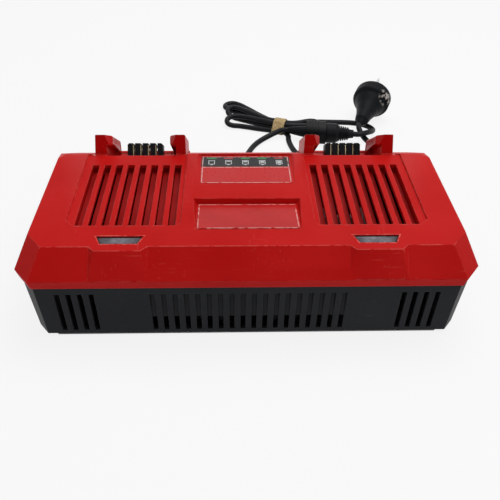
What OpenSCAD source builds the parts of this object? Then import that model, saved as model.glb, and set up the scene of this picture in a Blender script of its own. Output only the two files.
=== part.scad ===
/* [Housing] */
// Width across the widest rim of the cover
rim_w = 330; // [322:1:350]
// Depth across the widest rim of the cover
rim_d = 192; // [188:1:200]
// Height of the base from its underside to the seam
base_h = 50.5; // [48:0.5:56]
// Height of the upright band of the cover above the seam
band_h = 7.5; // [6.5:0.5:9]
// Rise of the sloped faces from the rim to the flat top
slope_h = 19.5; // [18:0.5:22]
// Inward run of the side slopes
side_run = 9.2; // [7:0.2:11]
// Inward run of the back slope
back_run = 14.9; // [12:0.2:16]
// Inward run of the front slope, below the battery bays
front_run = 50; // [48:0.5:52]
// How far the band draws in from the rim down to the seam
band_draw = 2; // [1:0.25:2.5]
// Step from the rim in to the top edge of the base
base_step = 3.5; // [3:0.25:4]
// Draw of the base walls from the seam down to the underside
base_draw = 4; // [2:0.5:5]
// Corner cut along the width of the rim
corner_x = 11.8; // [9:0.2:14]
// Corner cut along the depth of the rim
corner_y = 14.6; // [11:0.2:17]
// Inward run of the two back corner facets
back_corner_run = 16.8; // [14:0.2:19]
// Inward run of the two front corner facets
front_corner_run = 33.5; // [30:0.5:36]
// Wall thickness of cover and base
wall = 3; // [2.6:0.1:3.2]
// Thickness of the base floor
floor_t = 2.6; // [2.2:0.1:3.2]
// Chamfer round the bottom edge of the base
foot_chamfer = 1.5; // [0.5:0.25:2]
// Height of the tongue that locates the cover on the base
tongue_h = 2.5; // [1.5:0.5:4]

/* [Cover details] */
// Depth of the sunk grille panels
panel_depth = 1.5; // [1:0.1:2]
// Grille slots over each battery bay
grille_slots = 8; // [6:1:8]
// Width of one grille slot
slot_w = 5.6; // [4.6:0.2:6]
// Distance from one grille slot to the next
slot_pitch = 9.6; // [9:0.1:9.8]
// Distance from the back edge of the flat top to the grille slots
slot_back_gap = 26.7; // [26:0.1:30]
// Distance from the grille slots to the upper edge of the bays
slot_front_gap = 15.6; // [14:0.2:26]
// Depth of the light-tight comb below the panel face
comb_drop = 7.4; // [6:0.2:9]
// Thickness of the comb strips
comb_t = 1.6; // [1.2:0.1:2.4]
// Width of the bump over each status light, along the crease
bump_w = 40; // [34:1:46]
// How far the bump stands back from the crease
bump_out = 4.8; // [3:0.2:6]
// Width of the bevels at the two ends of the bump
bump_bevel = 4; // [2:0.5:6]
// Width of the status light window at its front edge
lens_w = 32.4; // [28:0.4:34]
// Width of the status light window at its back edge
lens_w_back = 25.4; // [20:0.4:27]
// Depth of the status light window, front to back
lens_d = 8.4; // [6:0.2:9]
// Sink of the status light lens below the top face
lens_sink = 0.8; // [0.4:0.1:1.2]
// Width of the status label
label_w = 73.6; // [60:0.4:76]
// Depth of the status label, front to back
label_d = 45; // [40:0.5:45]
// Sink of the label bed at the front edge of the top
label_sink = 2.9; // [1.5:0.1:3.2]
// Width of the blank badge plate
badge_w = 74; // [60:1:76]
// Depth of the blank badge plate, front to back
badge_d = 36.4; // [30:0.4:38]
// Sink of the badge bed at its front wall
badge_sink = 4.7; // [3:0.1:5]
// Back edge of the badge bed
badge_back_y = -62; // [-64:0.5:-60]

/* [Battery bays] */
// Distance of each battery bay from the middle
bay_x = 88; // [87:0.5:90]
// Slope of the bays below level
bay_angle = 34; // [32:0.5:35]
// Gap between the inner faces of the two rails
rail_gap = 58.4; // [57:0.2:59]
// Gap between the two rail lips
lip_gap = 48.4; // [46:0.2:50]
// Wall of a rail above the cover
rail_t = 8.3; // [7:0.1:9]
// Outward lean of the outer rail's outer face
rail_lean = 2.8; // [0:0.2:3]
// Height of the rails above the bay floor
rail_h = 17; // [15:0.5:18]
// Thickness of the rail lips
lip_t = 8; // [6:0.5:9]
// Setback of the rails' upper ends from the top of the bay
rail_setback = 6; // [4:0.5:8]
// Length of the bay, front to back
bay_len = 45; // [43:0.5:45.5]
// Thickness of the bay floor
bay_floor_t = 2.5; // [2:0.1:3]
// Length of the bay floor down to the stop
stop_u = 44; // [42:0.5:46]
// Depth of the notches along the rail lips
notch_d = 0.8; // [0.4:0.1:1.2]
// Distance from one lip notch to the next
notch_pitch = 4; // [3:0.5:6]

/* [Terminals] */
// Fins of a terminal block
fins = 5; // [3:1:5]
// Distance from one terminal fin to the next
fin_pitch = 6.6; // [6:0.1:7]
// Width of the gap between terminal fins
fin_gap = 1.9; // [1.5:0.1:2.4]
// Length of the terminal fins
fin_len = 13; // [10:0.5:14]
// Height of the terminal fins above the bay floor
fin_h = 13; // [10:0.5:14]
// Lower end of the fins, along the bay
fin_end_u = 41; // [38:0.5:42]
// Thickness of a contact blade
blade_t = 0.5; // [0.4:0.1:0.8]

/* [Base vents] */
// Slots in the middle vent group
mid_slots = 18; // [12:2:18]
// Slots in each outer vent group
side_slots = 4; // [2:1:4]
// Distance from one vent slot to the next
vent_pitch = 8.1; // [7.5:0.1:8.2]
// Width of a vent slot
vent_w = 3.7; // [3:0.1:4]
// Height of the slots' lower ends above the underside of the base
vent_low = 5; // [4.5:0.5:7]
// Length of the vent slots
vent_len = 38; // [34:0.5:40]
// Length of the blind upper part of the middle slots
vent_blind = 23.6; // [16:0.4:26]
// Depth of the blind upper part of the middle slots
vent_blind_d = 2.6; // [1.5:0.1:3]
// Thickness of the backing behind the blind part
vent_backing = 1.8; // [1.2:0.1:2.2]
// Middle of the outer vent groups
side_vent_x = 124.15; // [122:0.25:126]

/* [Feet, screws and keyholes] */
// Height of the rubber feet below the base
foot_h = 2; // [1.5:0.1:3]
// Radius of a rubber foot
foot_r = 9; // [7:0.5:10]
// Depth of the foot's seat in the base
foot_seat = 1; // [0.6:0.1:1.4]
// Sideways place of the feet
foot_x = 120; // [112:1:122]
// Front to back place of the feet
foot_y = 70; // [64:1:72]
// Distance of the corner screws in from the rim, sideways
corner_screw_in = 22; // [21:0.5:23]
// Sideways place of the inner screws
inner_screw_x = 37; // [36:0.5:39]
// Distance of all case screws in from the rim, front and back
screw_in = 22; // [21:0.5:23]
// Distance of the lead clamp in from the outside of the base at the seam
clamp_in = 14.5; // [14:0.25:15]
// Distance of the mains fuse behind the case screws
fuse_gap = 16; // [15:0.5:18]
// Distance of the filter choke behind the case screws
choke_gap = 26; // [25:0.5:27]
// Distance of the safety capacitor behind the case screws
capacitor_gap = 34; // [33.5:0.5:36]
// Outer radius of the screw posts
post_r = 5; // [4.8:0.1:5.2]
// Height at which the base posts meet the cover posts
post_split_z = 34; // [30:1:38]
// Radius of the case screw shank
screw_r = 1.5; // [1.2:0.1:1.7]
// Radius of the case screw head
screw_head_r = 3; // [2.6:0.1:3.1]
// Distance between the two wall keyholes
keyhole_span = 152.4; // [140:0.2:160]
// Radius of the round entry of a keyhole
keyhole_r = 4.5; // [4:0.25:5]
// Width of the slot of a keyhole
keyhole_w = 4.6; // [4:0.2:5]
// Travel from the entry to the end of the slot
keyhole_run = 11; // [9:0.5:13]

/* [Circuit board and parts] */
// Width of the main board
board_w = 266; // [262:1:268]
// Back edge of the main board
board_back_y = -62; // [-63:0.5:-60]
// Front edge of the main board
board_front_y = 78; // [75:1:78]
// Thickness of the main board
board_t = 1.6; // [1.2:0.2:2]
// Height of the board posts above the base floor
board_lift = 5.4; // [5:0.2:6]
// Width of the transformer core
core_w = 46; // [40:1:48]
// Height of the transformer core
core_h = 36; // [32:1:38]
// Depth of the transformer core
core_d = 16; // [14:1:18]
// Radius of the bulk capacitors
bulk_cap_r = 11; // [9:0.5:12]
// Height of the bulk capacitors
bulk_cap_h = 35; // [28:1:38]
// Radius of the output capacitors
out_cap_r = 5; // [4:0.5:6]
// Height of the output capacitors
out_cap_h = 20; // [16:1:24]
// Height of the heat sinks
sink_h = 34; // [28:1:38]
// Length of the heat sinks
sink_len = 64; // [54:1:68]

/* [Fan] */
// Side of the square fan frame
fan_w = 50; // [48:1:51]
// Depth of the fan frame
fan_d = 15; // [13:0.5:15]
// Radius of the fan's air passage
fan_r = 23.6; // [22.5:0.1:23.7]
// Radius of the fan's hub
hub_r = 11.5; // [10:0.5:12]
// Blades of the fan
fan_blades = 7; // [5:1:9]
// Gap between blade tips and passage
tip_gap = 0.8; // [0.5:0.1:1.2]
// Radius of the fan's shaft
shaft_r = 1.5; // [1.2:0.1:1.8]

/* [Mains lead] */
// Diameter of the mains flex
flex_d = 6; // [5:0.2:6.4]
// Height of the lead's exit above the underside of the base
exit_h = 18; // [16:0.5:20]
// Length of the strain relief outside the case
relief_len = 34; // [26:1:40]
// Radius of the plug's round head
plug_r = 21.5; // [19:0.5:22]
// Thickness of the plug's round head
plug_head_t = 15; // [12:0.5:17]
// Length of the plug's tapered grip
plug_grip = 36; // [32:1:38]
// Height of the folded hank
hank_h = 13; // [12:0.5:14]

/* [Hidden] */
$fn = 48;
fit = 0.2; // clearance between parts that slot together
free = 0.3; // clearance between parts that lie side by side
eps = 0.01;
seam_z = foot_h + base_h;
rim_z = seam_z + band_h;
top_z = rim_z + slope_h;
panel_z = top_z - panel_depth;
floor_z = foot_h + floor_t;
top_front_y = rim_d / 2 - front_run;
top_back_y = back_run - rim_d / 2;
slope_fall = slope_h / front_run;
corner_a = atan2(corner_x, corner_y);
corner_dist = (rim_w / 2) * cos(corner_a) + (rim_d / 2 - corner_y) * sin(corner_a);

// Heights and half widths of the cover's outline, drawn in by t
function lean(run, t) = t * sqrt(run * run + slope_h * slope_h) / slope_h;
function cover_side(half, run, t) = [
    [half - band_draw - t, seam_z - t],
    [half - t, rim_z - (lean(run, t) - t) * slope_h / run],
    [half - run - lean(run, t) + run * t / slope_h, top_z - t]
];
function base_side(half, t) = [
    [half - base_draw - foot_chamfer - t, foot_h + (t > 0 ? floor_t : 0)],
    [half - base_draw - t, foot_h + foot_chamfer + (t > 0 ? floor_t : 0)],
    [half - t, seam_z + t]
];
function flip(points) = [for (i = [len(points) - 1 : -1 : 0]) [-points[i][0], points[i][1]]];

// Height of the cover's outer face above a point of the floor plan
function cover_z(y) = min(top_z, top_z - (y - top_front_y) * slope_fall);

// A ridge with one outline facing each way, drawn upright across the width at an angle
module ridge(a, right, left) {
    rotate([90, 0, a])
        linear_extrude(height = 600, center = true)
            polygon(concat(right, flip(left)));
}

module cover_form(t) {
    side = cover_side(rim_w / 2, side_run, t);
    back = cover_side(rim_d / 2, back_run, t);
    front = cover_side(rim_d / 2, front_run, t);
    back_corner = cover_side(corner_dist, back_corner_run, t);
    front_corner = cover_side(corner_dist, front_corner_run, t);
    intersection() {
        ridge(0, side, side);
        ridge(90, front, back);
        ridge(corner_a, front_corner, back_corner);
        ridge(-corner_a, back_corner, front_corner);
    }
}

module base_form(t) {
    side = base_side(rim_w / 2 - base_step, t);
    end = base_side(rim_d / 2 - base_step, t);
    corner = base_side(corner_dist - base_step, t);
    intersection() {
        ridge(0, side, side);
        ridge(90, end, end);
        ridge(corner_a, corner, corner);
        ridge(-corner_a, corner, corner);
    }
}

module both_sides() {
    children();
    mirror([1, 0, 0]) children();
}

// Places children in a battery bay: across, down the slope, and out of it
module in_bay(side) {
    translate([side * bay_x, top_front_y, panel_z])
        rotate([-bay_angle, 0, 0])
            children();
}

// A solid with its side outline drawn in (front to back, height), across a width
module across(x0, x1) {
    translate([x0, 0, 0])
        rotate([90, 0, 90])
            linear_extrude(height = x1 - x0)
                children();
}

corner_screw_x = rim_w / 2 - corner_screw_in;
screw_y = rim_d / 2 - screw_in;
SCREW_PLACES = [
    [corner_screw_x, screw_y], [corner_screw_x, -screw_y],
    [inner_screw_x, screw_y], [inner_screw_x, -screw_y]
];
module at_screws() {
    both_sides()
        for (p = SCREW_PLACES)
            translate([p[0], p[1], 0])
                children();
}

// ---- Cover ----

slot_first_x = bay_x + 1.2 - (grille_slots - 1) * slot_pitch / 2;
slot_back_y = top_back_y + slot_back_gap;
slot_front_y = top_front_y - slot_front_gap;
slot_len = slot_front_y - slot_back_y;
panel_in_x = slot_first_x - slot_w / 2 - 3.8;
panel_out_x = slot_first_x + (grille_slots - 1) * slot_pitch + slot_w / 2 + 6.4;
panel_back_y = slot_back_y - 2.6;
panel_cut = 7;
bay_half = rail_gap / 2 + rail_t + 0.8;
bay_out = bay_half + rail_lean;
bay_end_y = top_front_y + bay_len;
lens_x = bay_x + 2.6;
lens_y = top_back_y + 7.4;

module lens_plan(grow) {
    polygon([
        [-lens_w / 2 - grow, lens_d / 2 + grow], [-lens_w_back / 2 - grow, -lens_d / 2 - grow],
        [lens_w_back / 2 + grow, -lens_d / 2 - grow], [lens_w / 2 + grow, lens_d / 2 + grow]
    ]);
}

// The raised bump that carries the crease back over a status light
module bump() {
    half = bump_w / 2;
    low_z = rim_z + 0.6;
    low_y = -rim_d / 2 + back_run * (low_z - rim_z) / slope_h;
    fade_z = rim_z + slope_h * 0.42;
    fade_y = -rim_d / 2 + back_run * (fade_z - rim_z) / slope_h;
    in_y = top_back_y + wall / 2;
    points = [
        [half, top_back_y, top_z], [half - bump_bevel, top_back_y - bump_out, top_z],
        [bump_bevel - half, top_back_y - bump_out, top_z], [-half, top_back_y, top_z],
        [half + 1, low_y, low_z], [half - bump_bevel, low_y - 0.4, low_z],
        [bump_bevel - half, low_y - 0.4, low_z], [-half, fade_y, fade_z],
        [half, in_y, top_z - eps], [-half, in_y, top_z - eps],
        [half, low_y + wall / 2, low_z], [-half, low_y + wall / 2, low_z]
    ];
    translate([lens_x, 0, 0])
        hull()
            polyhedron(points, [[0, 1, 2, 3], [4, 5, 6], [6, 7, 8], [9, 10, 11], [0, 4, 8]]);
}

module panel_plan(x0, x1) {
    polygon([
        [x0, top_front_y + 1], [x0, panel_back_y + panel_cut / 2], [x0 + panel_cut / 2, panel_back_y],
        [x1 - panel_cut, panel_back_y], [x1, panel_back_y + panel_cut], [x1, top_front_y + 1]
    ]);
}

// A sloping bed: its floor runs from shallow at the back to deep at the front
module sloping_bed(y0, y1, sink0, sink1, half, bevel) {
    tilt = atan2(sink1 - sink0, y1 - y0);
    length = (y1 - y0) / cos(tilt);
    translate([0, y0, top_z - sink0])
        rotate([-tilt, 0, 0])
            rotate([90, 0, 0])
                translate([0, 0, -length])
                    linear_extrude(height = length)
                        polygon([
                            [-half, 0], [half, 0], [half + bevel, sink1 + 1], [-half - bevel, sink1 + 1]
                        ]);
}

label_back_y = top_front_y - label_d - 2.2;
badge_front_y = badge_back_y + badge_d + 3;

module top_cover() {
    color("firebrick")
        difference() {
            union() {
                difference() {
                    union() {
                        cover_form(0);
                        both_sides() bump();
                    }
                    cover_form(wall);
                    translate([0, 0, seam_z - 10])
                        cube([rim_w, rim_d, 20 - eps], center = true);
                }
                // thicker roof under the sunk faces
                intersection() {
                    cover_form(0.5);
                    union() {
                        both_sides()
                            translate([0, 0, panel_z - wall])
                                linear_extrude(height = wall)
                                    panel_plan(panel_in_x - 2, panel_out_x + 2);
                        translate([-label_w / 2 - 5, label_back_y - 4, top_z - label_sink - wall])
                            cube([label_w + 10, top_front_y - label_back_y + 6, label_sink + wall / 2]);
                        translate([-badge_w / 2 - 5, badge_back_y, top_z - badge_sink - wall])
                            cube([badge_w + 10, badge_front_y - badge_back_y + 4, badge_sink + wall / 2]);
                    }
                }
                intersection() {
                    cover_form(0.5);
                    cover_posts_upper();
                }
                cover_posts_lower();
            }
            // battery bay openings
            for (side = [-1, 1])
                translate([side * bay_x, 0, 0])
                    translate([-bay_half - fit + (side < 0 ? -rail_lean : 0), top_front_y, rim_z - 30])
                        cube([bay_half + bay_out + 2 * fit, bay_len + fit, 80]);
            // sunk grille panels and their slots
            both_sides() {
                translate([0, 0, panel_z])
                    linear_extrude(height = 10)
                        panel_plan(panel_in_x, panel_out_x);
                for (i = [0 : grille_slots - 1])
                    translate([slot_first_x + i * slot_pitch - slot_w / 2, slot_back_y, panel_z - 20])
                        cube([slot_w, slot_len, 40]);
                translate([lens_x, lens_y, top_z - lens_sink - 20])
                    linear_extrude(height = 40)
                        lens_plan(fit);
            }
            sloping_bed(label_back_y, top_front_y + 2, 0.35, label_sink, label_w / 2 + 1, 5);
            sloping_bed(badge_back_y, badge_front_y, 0.3, badge_sink, badge_w / 2 + 1.2, 3);
            // pilot holes for the case screws
            at_screws()
                translate([0, 0, post_split_z - 1])
                    cylinder(r = screw_r + 0.05, h = 19);
        }
}

// The posts are cut in two heights so that they end inside the sloping skin
module cover_posts_upper() {
    at_screws()
        translate([0, 0, rim_z - 4])
            cylinder(r = post_r, h = top_z - rim_z + 4);
}

module cover_posts_lower() {
    at_screws()
        translate([0, 0, post_split_z])
            cylinder(r = post_r, h = rim_z - 4 - post_split_z);
}

// Light-tight comb under one grille: a strip below each slot, open below each bar
module grille_comb(side) {
    x0 = slot_first_x - slot_w / 2 - 2;
    x1 = slot_first_x + (grille_slots - 1) * slot_pitch + slot_w / 2 + 2;
    y0 = slot_back_y - 2;
    y1 = slot_front_y + 2;
    low_z = panel_z - comb_drop - comb_t;
    color("darkred")
        scale_side(side)
            difference() {
                translate([x0, y0, low_z])
                    cube([x1 - x0, y1 - y0, panel_z - wall - low_z]);
                translate([x0 + 1.6, y0 + 1.6, low_z + comb_t])
                    cube([x1 - x0 - 3.2, y1 - y0 - 3.2, 20]);
                for (i = [0 : grille_slots - 2])
                    translate([slot_first_x + i * slot_pitch + slot_w / 2 + 0.3, y0 + 3, low_z - 1])
                        cube([slot_pitch - slot_w - 0.6, y1 - y0 - 6, 10]);
            }
}

module scale_side(side) {
    if (side > 0) children();
    else mirror([1, 0, 0]) children();
}

module status_lens(side) {
    color([0.25, 0.22, 0.24])
        scale_side(side)
            translate([lens_x, lens_y, 0]) {
                translate([0, 0, top_z - wall - 0.8])
                    linear_extrude(height = wall + 0.8 - lens_sink)
                        lens_plan(0);
                // flange that seats against the roof from inside
                translate([-lens_w / 2 - 1.5, -1, top_z - wall - 2.3])
                    cube([lens_w + 3, lens_d / 2, 1.5]);
            }
}

module lamp_board(side) {
    color("darkgreen")
        scale_side(side)
            translate([lens_x, lens_y, top_z - wall - 6.5]) {
                translate([-14, -2.5, 0]) cube([28, 8, 1.2]);
                for (x = [-7, 7])
                    translate([x - 1.8, -0.4, 1.2]) cube([3.6, 3, 2.7]);
            }
}

module status_label() {
    tilt = atan2(label_sink - 0.35, top_front_y + 2 - label_back_y);
    color("black")
        translate([0, label_back_y, top_z - 0.35])
            rotate([-tilt, 0, 0])
                translate([-label_w / 2, 1.6, 0])
                    cube([label_w, label_d, 0.3]);
}

module badge_plate() {
    tilt = atan2(badge_sink - 0.3, badge_front_y - badge_back_y);
    color("red")
        translate([0, badge_back_y, top_z - 0.3])
            rotate([-tilt, 0, 0])
                translate([-badge_w / 2, 1.2, 0])
                    cube([badge_w, badge_d, 0.8]);
}

// ---- Battery bays ----

lip_in = lip_gap / 2;
rail_in = rail_gap / 2;
rail_out = rail_in + rail_t;

// One rail's section: wall and lip, seen along the slope
module rail_section(outer_lean) {
    polygon([
        [rail_in, -bay_floor_t], [rail_in, rail_h - lip_t], [lip_in + 0.6, rail_h - lip_t + 0.5],
        [lip_in, rail_h - lip_t + 1.2], [lip_in, rail_h - 1], [lip_in + 1, rail_h],
        [rail_out - 0.6, rail_h], [rail_out, rail_h - 0.6], [rail_out + outer_lean, -bay_floor_t]
    ]);
}

module rail(outer_lean) {
    length = bay_len / cos(bay_angle) + 40;
    difference() {
        translate([0, length - 20, 0])
            rotate([90, 0, 0])
                linear_extrude(height = length)
                    rail_section(outer_lean);
        // lead-in at the upper end of the lip
        translate([0, 0, rail_h - lip_t])
            linear_extrude(height = lip_t + 1)
                polygon([[lip_in - 1, -20], [rail_in, -20], [rail_in, -3], [lip_in - 1, 6]]);
        for (i = [0 : 8])
            translate([lip_in - 1, 9 + i * notch_pitch, rail_h - lip_t + 2])
                cube([1 + notch_d, notch_pitch / 2, lip_t - 3.4]);
    }
}

stop_y = top_front_y + stop_u * cos(bay_angle);
stop_z = panel_z - stop_u * sin(bay_angle);
tray_foot_z = stop_z - bay_floor_t / cos(bay_angle) - 0.6;
tray_foot_y = rim_d / 2 - base_step - wall - 1;
block_half = (fins * fin_pitch - fin_gap) / 2;

module bay_tray(side) {
    far = top_front_y + bay_len;
    low = tray_foot_z;
    reach = (cover_z(stop_y) - stop_z) / (cos(bay_angle) + slope_fall * sin(bay_angle));
    under = panel_z - wall - fit;
    x0 = side * bay_x - bay_half - (side < 0 ? rail_lean : 0);
    color("red")
        difference() {
            union() {
                intersection() {
                    // the tray's side outline: sloping underside, flat foot, stepped front
                    across(x0, x0 + bay_half + bay_out)
                        polygon([
                            [top_front_y, panel_z + 40], [top_front_y, panel_z - 6],
                            [stop_y - 3, low], [tray_foot_y, low], [tray_foot_y, seam_z + 3.4],
                            [far, seam_z + 5], [far, panel_z + 40]
                        ]);
                    union() {
                        in_bay(side)
                            translate([-bay_out, -10, -bay_floor_t])
                                cube([2 * bay_out, stop_u + 10, bay_floor_t]);
                        intersection() {
                            translate([-200, top_front_y + rail_setback, 0]) cube([400, bay_len, 200]);
                            in_bay(side) {
                                rail(side > 0 ? rail_lean : 0);
                                mirror([1, 0, 0]) rail(side < 0 ? rail_lean : 0);
                            }
                        }
                        // cheeks that fill the opening beside the rails, flush with the cover
                        for (cheek = [-1, 1])
                            across(
                                side * bay_x + (cheek > 0 ? rail_in : -bay_out),
                                side * bay_x + (cheek > 0 ? bay_out : -rail_in)
                            )
                                polygon([
                                    [top_front_y, panel_z - 6], [top_front_y, panel_z],
                                    [top_front_y + 1, cover_z(top_front_y + 1) - 1.4],
                                    [top_front_y + 5, cover_z(top_front_y + 5) - 0.2],
                                    [far, cover_z(far) - 0.2], [far, low], [stop_y - 3, low]
                                ]);
                        // the stop at the lower end of the floor
                        across(side * bay_x - rail_in, side * bay_x + rail_in)
                            polygon([
                                [stop_y, stop_z - eps],
                                [stop_y + reach * sin(bay_angle), stop_z + reach * cos(bay_angle) - 0.2],
                                [far, cover_z(far) - 0.2], [far, low], [stop_y - 3, low]
                            ]);
                    }
                }
                // tongue that hooks under the cover's roof
                across(side * bay_x - 30, side * bay_x + 30)
                    polygon([
                        [top_front_y - 6, under - 2.4], [top_front_y - 6, under],
                        [top_front_y + 0.3, under], [top_front_y + 4, under - 1.3],
                        [top_front_y + 4, under - 2.4]
                    ]);
            }
            // window for the terminal block's stem
            in_bay(side)
                translate([-block_half + 1 - fit, fin_end_u - fin_len - fit, -20])
                    cube([2 * block_half - 2 + 2 * fit, fin_len + 2 * fit, 21]);
        }
}

module terminal_block(side) {
    half = block_half;
    fin_w = fin_pitch - fin_gap;
    color([0.08, 0.08, 0.09])
        in_bay(side) {
            translate([-half - 1.5, fin_end_u - fin_len - 3, 0])
                cube([2 * half + 3, fin_len + 5, 2]);
            translate([-half + 1, fin_end_u - fin_len, -8])
                cube([2 * half - 2, fin_len, 8 + eps]);
            for (i = [0 : fins - 1])
                translate([-half + i * fin_pitch, fin_end_u, 0])
                    rotate([90, 0, 0])
                        linear_extrude(height = fin_len)
                            difference() {
                                square([fin_w, fin_h]);
                                if (i == 0) translate([0, fin_h]) rotate(45) square(2, center = true);
                                if (i == fins - 1)
                                    translate([fin_w, fin_h]) rotate(45) square(2, center = true);
                            }
            // bridges that tie the fins together at their lower ends
            translate([-half + 1, fin_end_u - 2.2, fin_h - 3.6])
                cube([2 * half - 2, 2.2, 2.6]);
        }
}

module contact_blades(side) {
    half = block_half;
    fin_w = fin_pitch - fin_gap;
    color("silver")
        in_bay(side)
            for (i = [0 : fins - 2])
                translate([-half + i * fin_pitch + fin_w, fin_end_u - fin_len + 0.6, 2])
                    cube([blade_t, fin_len - 3.4, fin_h - 4]);
}

// ---- Base ----

base_back_y = rim_d / 2 - base_step;
exit_z = foot_h + exit_h;
board_z = floor_z + board_lift;
board_top = board_z + board_t;
BOARD_POSTS = [[board_w / 2 - 5, board_back_y + 7], [board_w / 2 - 5, 46], [60, board_back_y + 7]];

function base_y(z) = base_back_y - base_draw * (seam_z - z) / base_h;

module vent_slots(count, x_mid, low, high, y0, depth) {
    for (i = [0 : count - 1])
        translate([x_mid + (i - (count - 1) / 2) * vent_pitch - vent_w / 2, y0, low])
            cube([vent_w, depth, high - low]);
}

module keyhole() {
    translate([0, 0, foot_h - 1]) {
        cylinder(r = keyhole_r, h = floor_t + 2);
        translate([-keyhole_w / 2, -keyhole_run, 0]) cube([keyhole_w, keyhole_run, floor_t + 2]);
        translate([0, -keyhole_run, 0]) cylinder(r = keyhole_w / 2, h = floor_t + 2);
    }
}

module base_shell() {
    low = foot_h + vent_low;
    high = low + vent_len;
    blind_z = high - vent_blind;
    mid_half = mid_slots * vent_pitch / 2 + 2;
    color([0.14, 0.14, 0.15])
        difference() {
            union() {
                difference() {
                    base_form(0);
                    base_form(wall);
                }
                // tongue that locates the cover
                intersection() {
                    translate([0, 0, seam_z - 3])
                        linear_extrude(height = tongue_h + 3) square(600, center = true);
                    difference() {
                        tongue_form(wall - base_step + band_draw + fit);
                        tongue_form(wall - base_step + band_draw + fit + 1.4);
                    }
                }
                // backing of the blind vents
                intersection() {
                    base_form(1);
                    translate([-mid_half, -base_back_y - 1, blind_z])
                        cube([2 * mid_half, vent_blind_d + vent_backing + 3, vent_blind + 1.5]);
                }
                intersection() {
                    base_form(1);
                    at_screws() cylinder(r = post_r, h = post_split_z);
                }
                both_sides() {
                    for (p = BOARD_POSTS)
                        translate([p[0], p[1], foot_h + 1]) cylinder(r = 3.4, h = board_z - foot_h - 1);
                    // closed pocket round a keyhole
                    translate([keyhole_span / 2 - 8, -keyhole_run - 5, foot_h + 1])
                        cube([16, keyhole_run + 12, board_z - foot_h - 1.4]);
                    // ribs that carry the lower end of a bay tray
                    for (x = [bay_x - 35, bay_x + 35])
                        translate([x - 1, 81, foot_h + 1])
                            cube([2, 6, tray_foot_z - foot_h - 1]);
                    // fan cradle
                    translate([fan_w / 2 + fit, fan_back_y + 2, foot_h + 1])
                        cube([1.8, fan_d - 4, 26]);
                }
                // saddle under the mains lead
                translate([-9, clamp_y - 4, foot_h + 1])
                    cube([18, 8, exit_z - flex_d / 2 - foot_h - 1]);
            }
            for (s = [-1, 1])
                vent_slots(side_slots, s * side_vent_x, low, high, -base_back_y - 5, 25);
            vent_slots(mid_slots, 0, low, blind_z, -base_back_y - 5, 25);
            vent_slots(mid_slots, 0, blind_z - eps, high, -base_back_y - 5, 5 + vent_blind_d);
            at_screws() {
                translate([0, 0, foot_h - 1])
                    cylinder(r = screw_head_r + 0.4, h = post_split_z - 3.5 - foot_h + 1);
                cylinder(r = screw_r + 0.3, h = post_split_z + 1);
            }
            for (x = [-foot_x, foot_x], y = [-foot_y, foot_y])
                translate([x, y, foot_h - 1]) cylinder(r = foot_r + fit, h = foot_seat + 1);
            both_sides() {
                translate([keyhole_span / 2, 0, 0]) keyhole();
                translate([keyhole_span / 2 - 6.5, -keyhole_run - 3.5, floor_z])
                    cube([13, keyhole_run + 9, board_z - floor_z - 1.6]);
                for (p = BOARD_POSTS)
                    translate([p[0], p[1], floor_z]) cylinder(r = 1.2, h = 20);
            }
            // hole for the strain relief
            translate([0, base_back_y - 20, exit_z]) rotate([-90, 0, 0]) cylinder(r = 6.2, h = 40);
            for (x = [-6.5, 6.5])
                translate([x, clamp_y, floor_z]) cylinder(r = 1.2, h = 40);
        }
}

// The cover's inner outline at the seam, carried straight up
module tongue_form(t) {
    half = rim_w / 2 - base_step;
    end = rim_d / 2 - base_step;
    corner = corner_dist - base_step;
    intersection() {
        cube([2 * (half - t), 600, 300], center = true);
        cube([600, 2 * (end - t), 300], center = true);
        rotate([0, 0, corner_a]) cube([2 * (corner - t), 600, 300], center = true);
        rotate([0, 0, -corner_a]) cube([2 * (corner - t), 600, 300], center = true);
    }
}

module rubber_feet() {
    color([0.1, 0.1, 0.1])
        for (x = [-foot_x, foot_x], y = [-foot_y, foot_y])
            translate([x, y, 0])
                rotate_extrude()
                    polygon([
                        [0, 0], [foot_r - 1.6, 0], [foot_r - 0.4, 1], [foot_r, foot_h],
                        [foot_r, foot_h + foot_seat], [0, foot_h + foot_seat]
                    ]);
}

module case_screws() {
    head_z = post_split_z - 3.5 - 2.6;
    color("dimgray")
        at_screws() {
            difference() {
                translate([0, 0, head_z]) cylinder(r = screw_head_r, h = 2.6);
                translate([0, 0, head_z - 1]) cylinder(r = 1.5, h = 2.6, $fn = 6);
            }
            translate([0, 0, head_z + 2.6 - eps]) cylinder(r = screw_r, h = 18);
        }
}

// ---- Main board and what stands on it ----

module main_board() {
    color("darkgreen")
        difference() {
            translate([-board_w / 2, board_back_y, board_z])
                cube([board_w, board_front_y - board_back_y, board_t]);
            both_sides() {
                translate([inner_screw_x, screw_y, 0]) cylinder(r = post_r + 1, h = 60);
                for (p = BOARD_POSTS)
                    translate([p[0], p[1], 0]) cylinder(r = 1.6, h = 60);
            }
            translate([-10, clamp_y - 5, 0]) cube([20, 20, 60]);
        }
}

module board_screws() {
    color("silver")
        both_sides()
            for (p = BOARD_POSTS)
                translate([p[0], p[1], 0]) {
                    translate([0, 0, board_top]) cylinder(r = 2.8, h = 1.8);
                    translate([0, 0, board_top - 6]) cylinder(r = 1.15, h = 6 + eps);
                }
}

core_x = -30;
core_y = 6;
coil_r = 16;
leg_r = 7;

module transformer_core() {
    window_w = (core_w / 2 - 6 - leg_r);
    color([0.2, 0.2, 0.22])
        translate([core_x, core_y, board_top]) {
            difference() {
                translate([-core_w / 2, -core_d / 2, 0]) cube([core_w, core_d, core_h]);
                translate([-core_w / 2 + 6, -core_d, 6]) cube([core_w - 12, 2 * core_d, core_h - 12]);
            }
            translate([0, 0, 5.9]) cylinder(r = leg_r, h = core_h - 11.8);
        }
}

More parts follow.
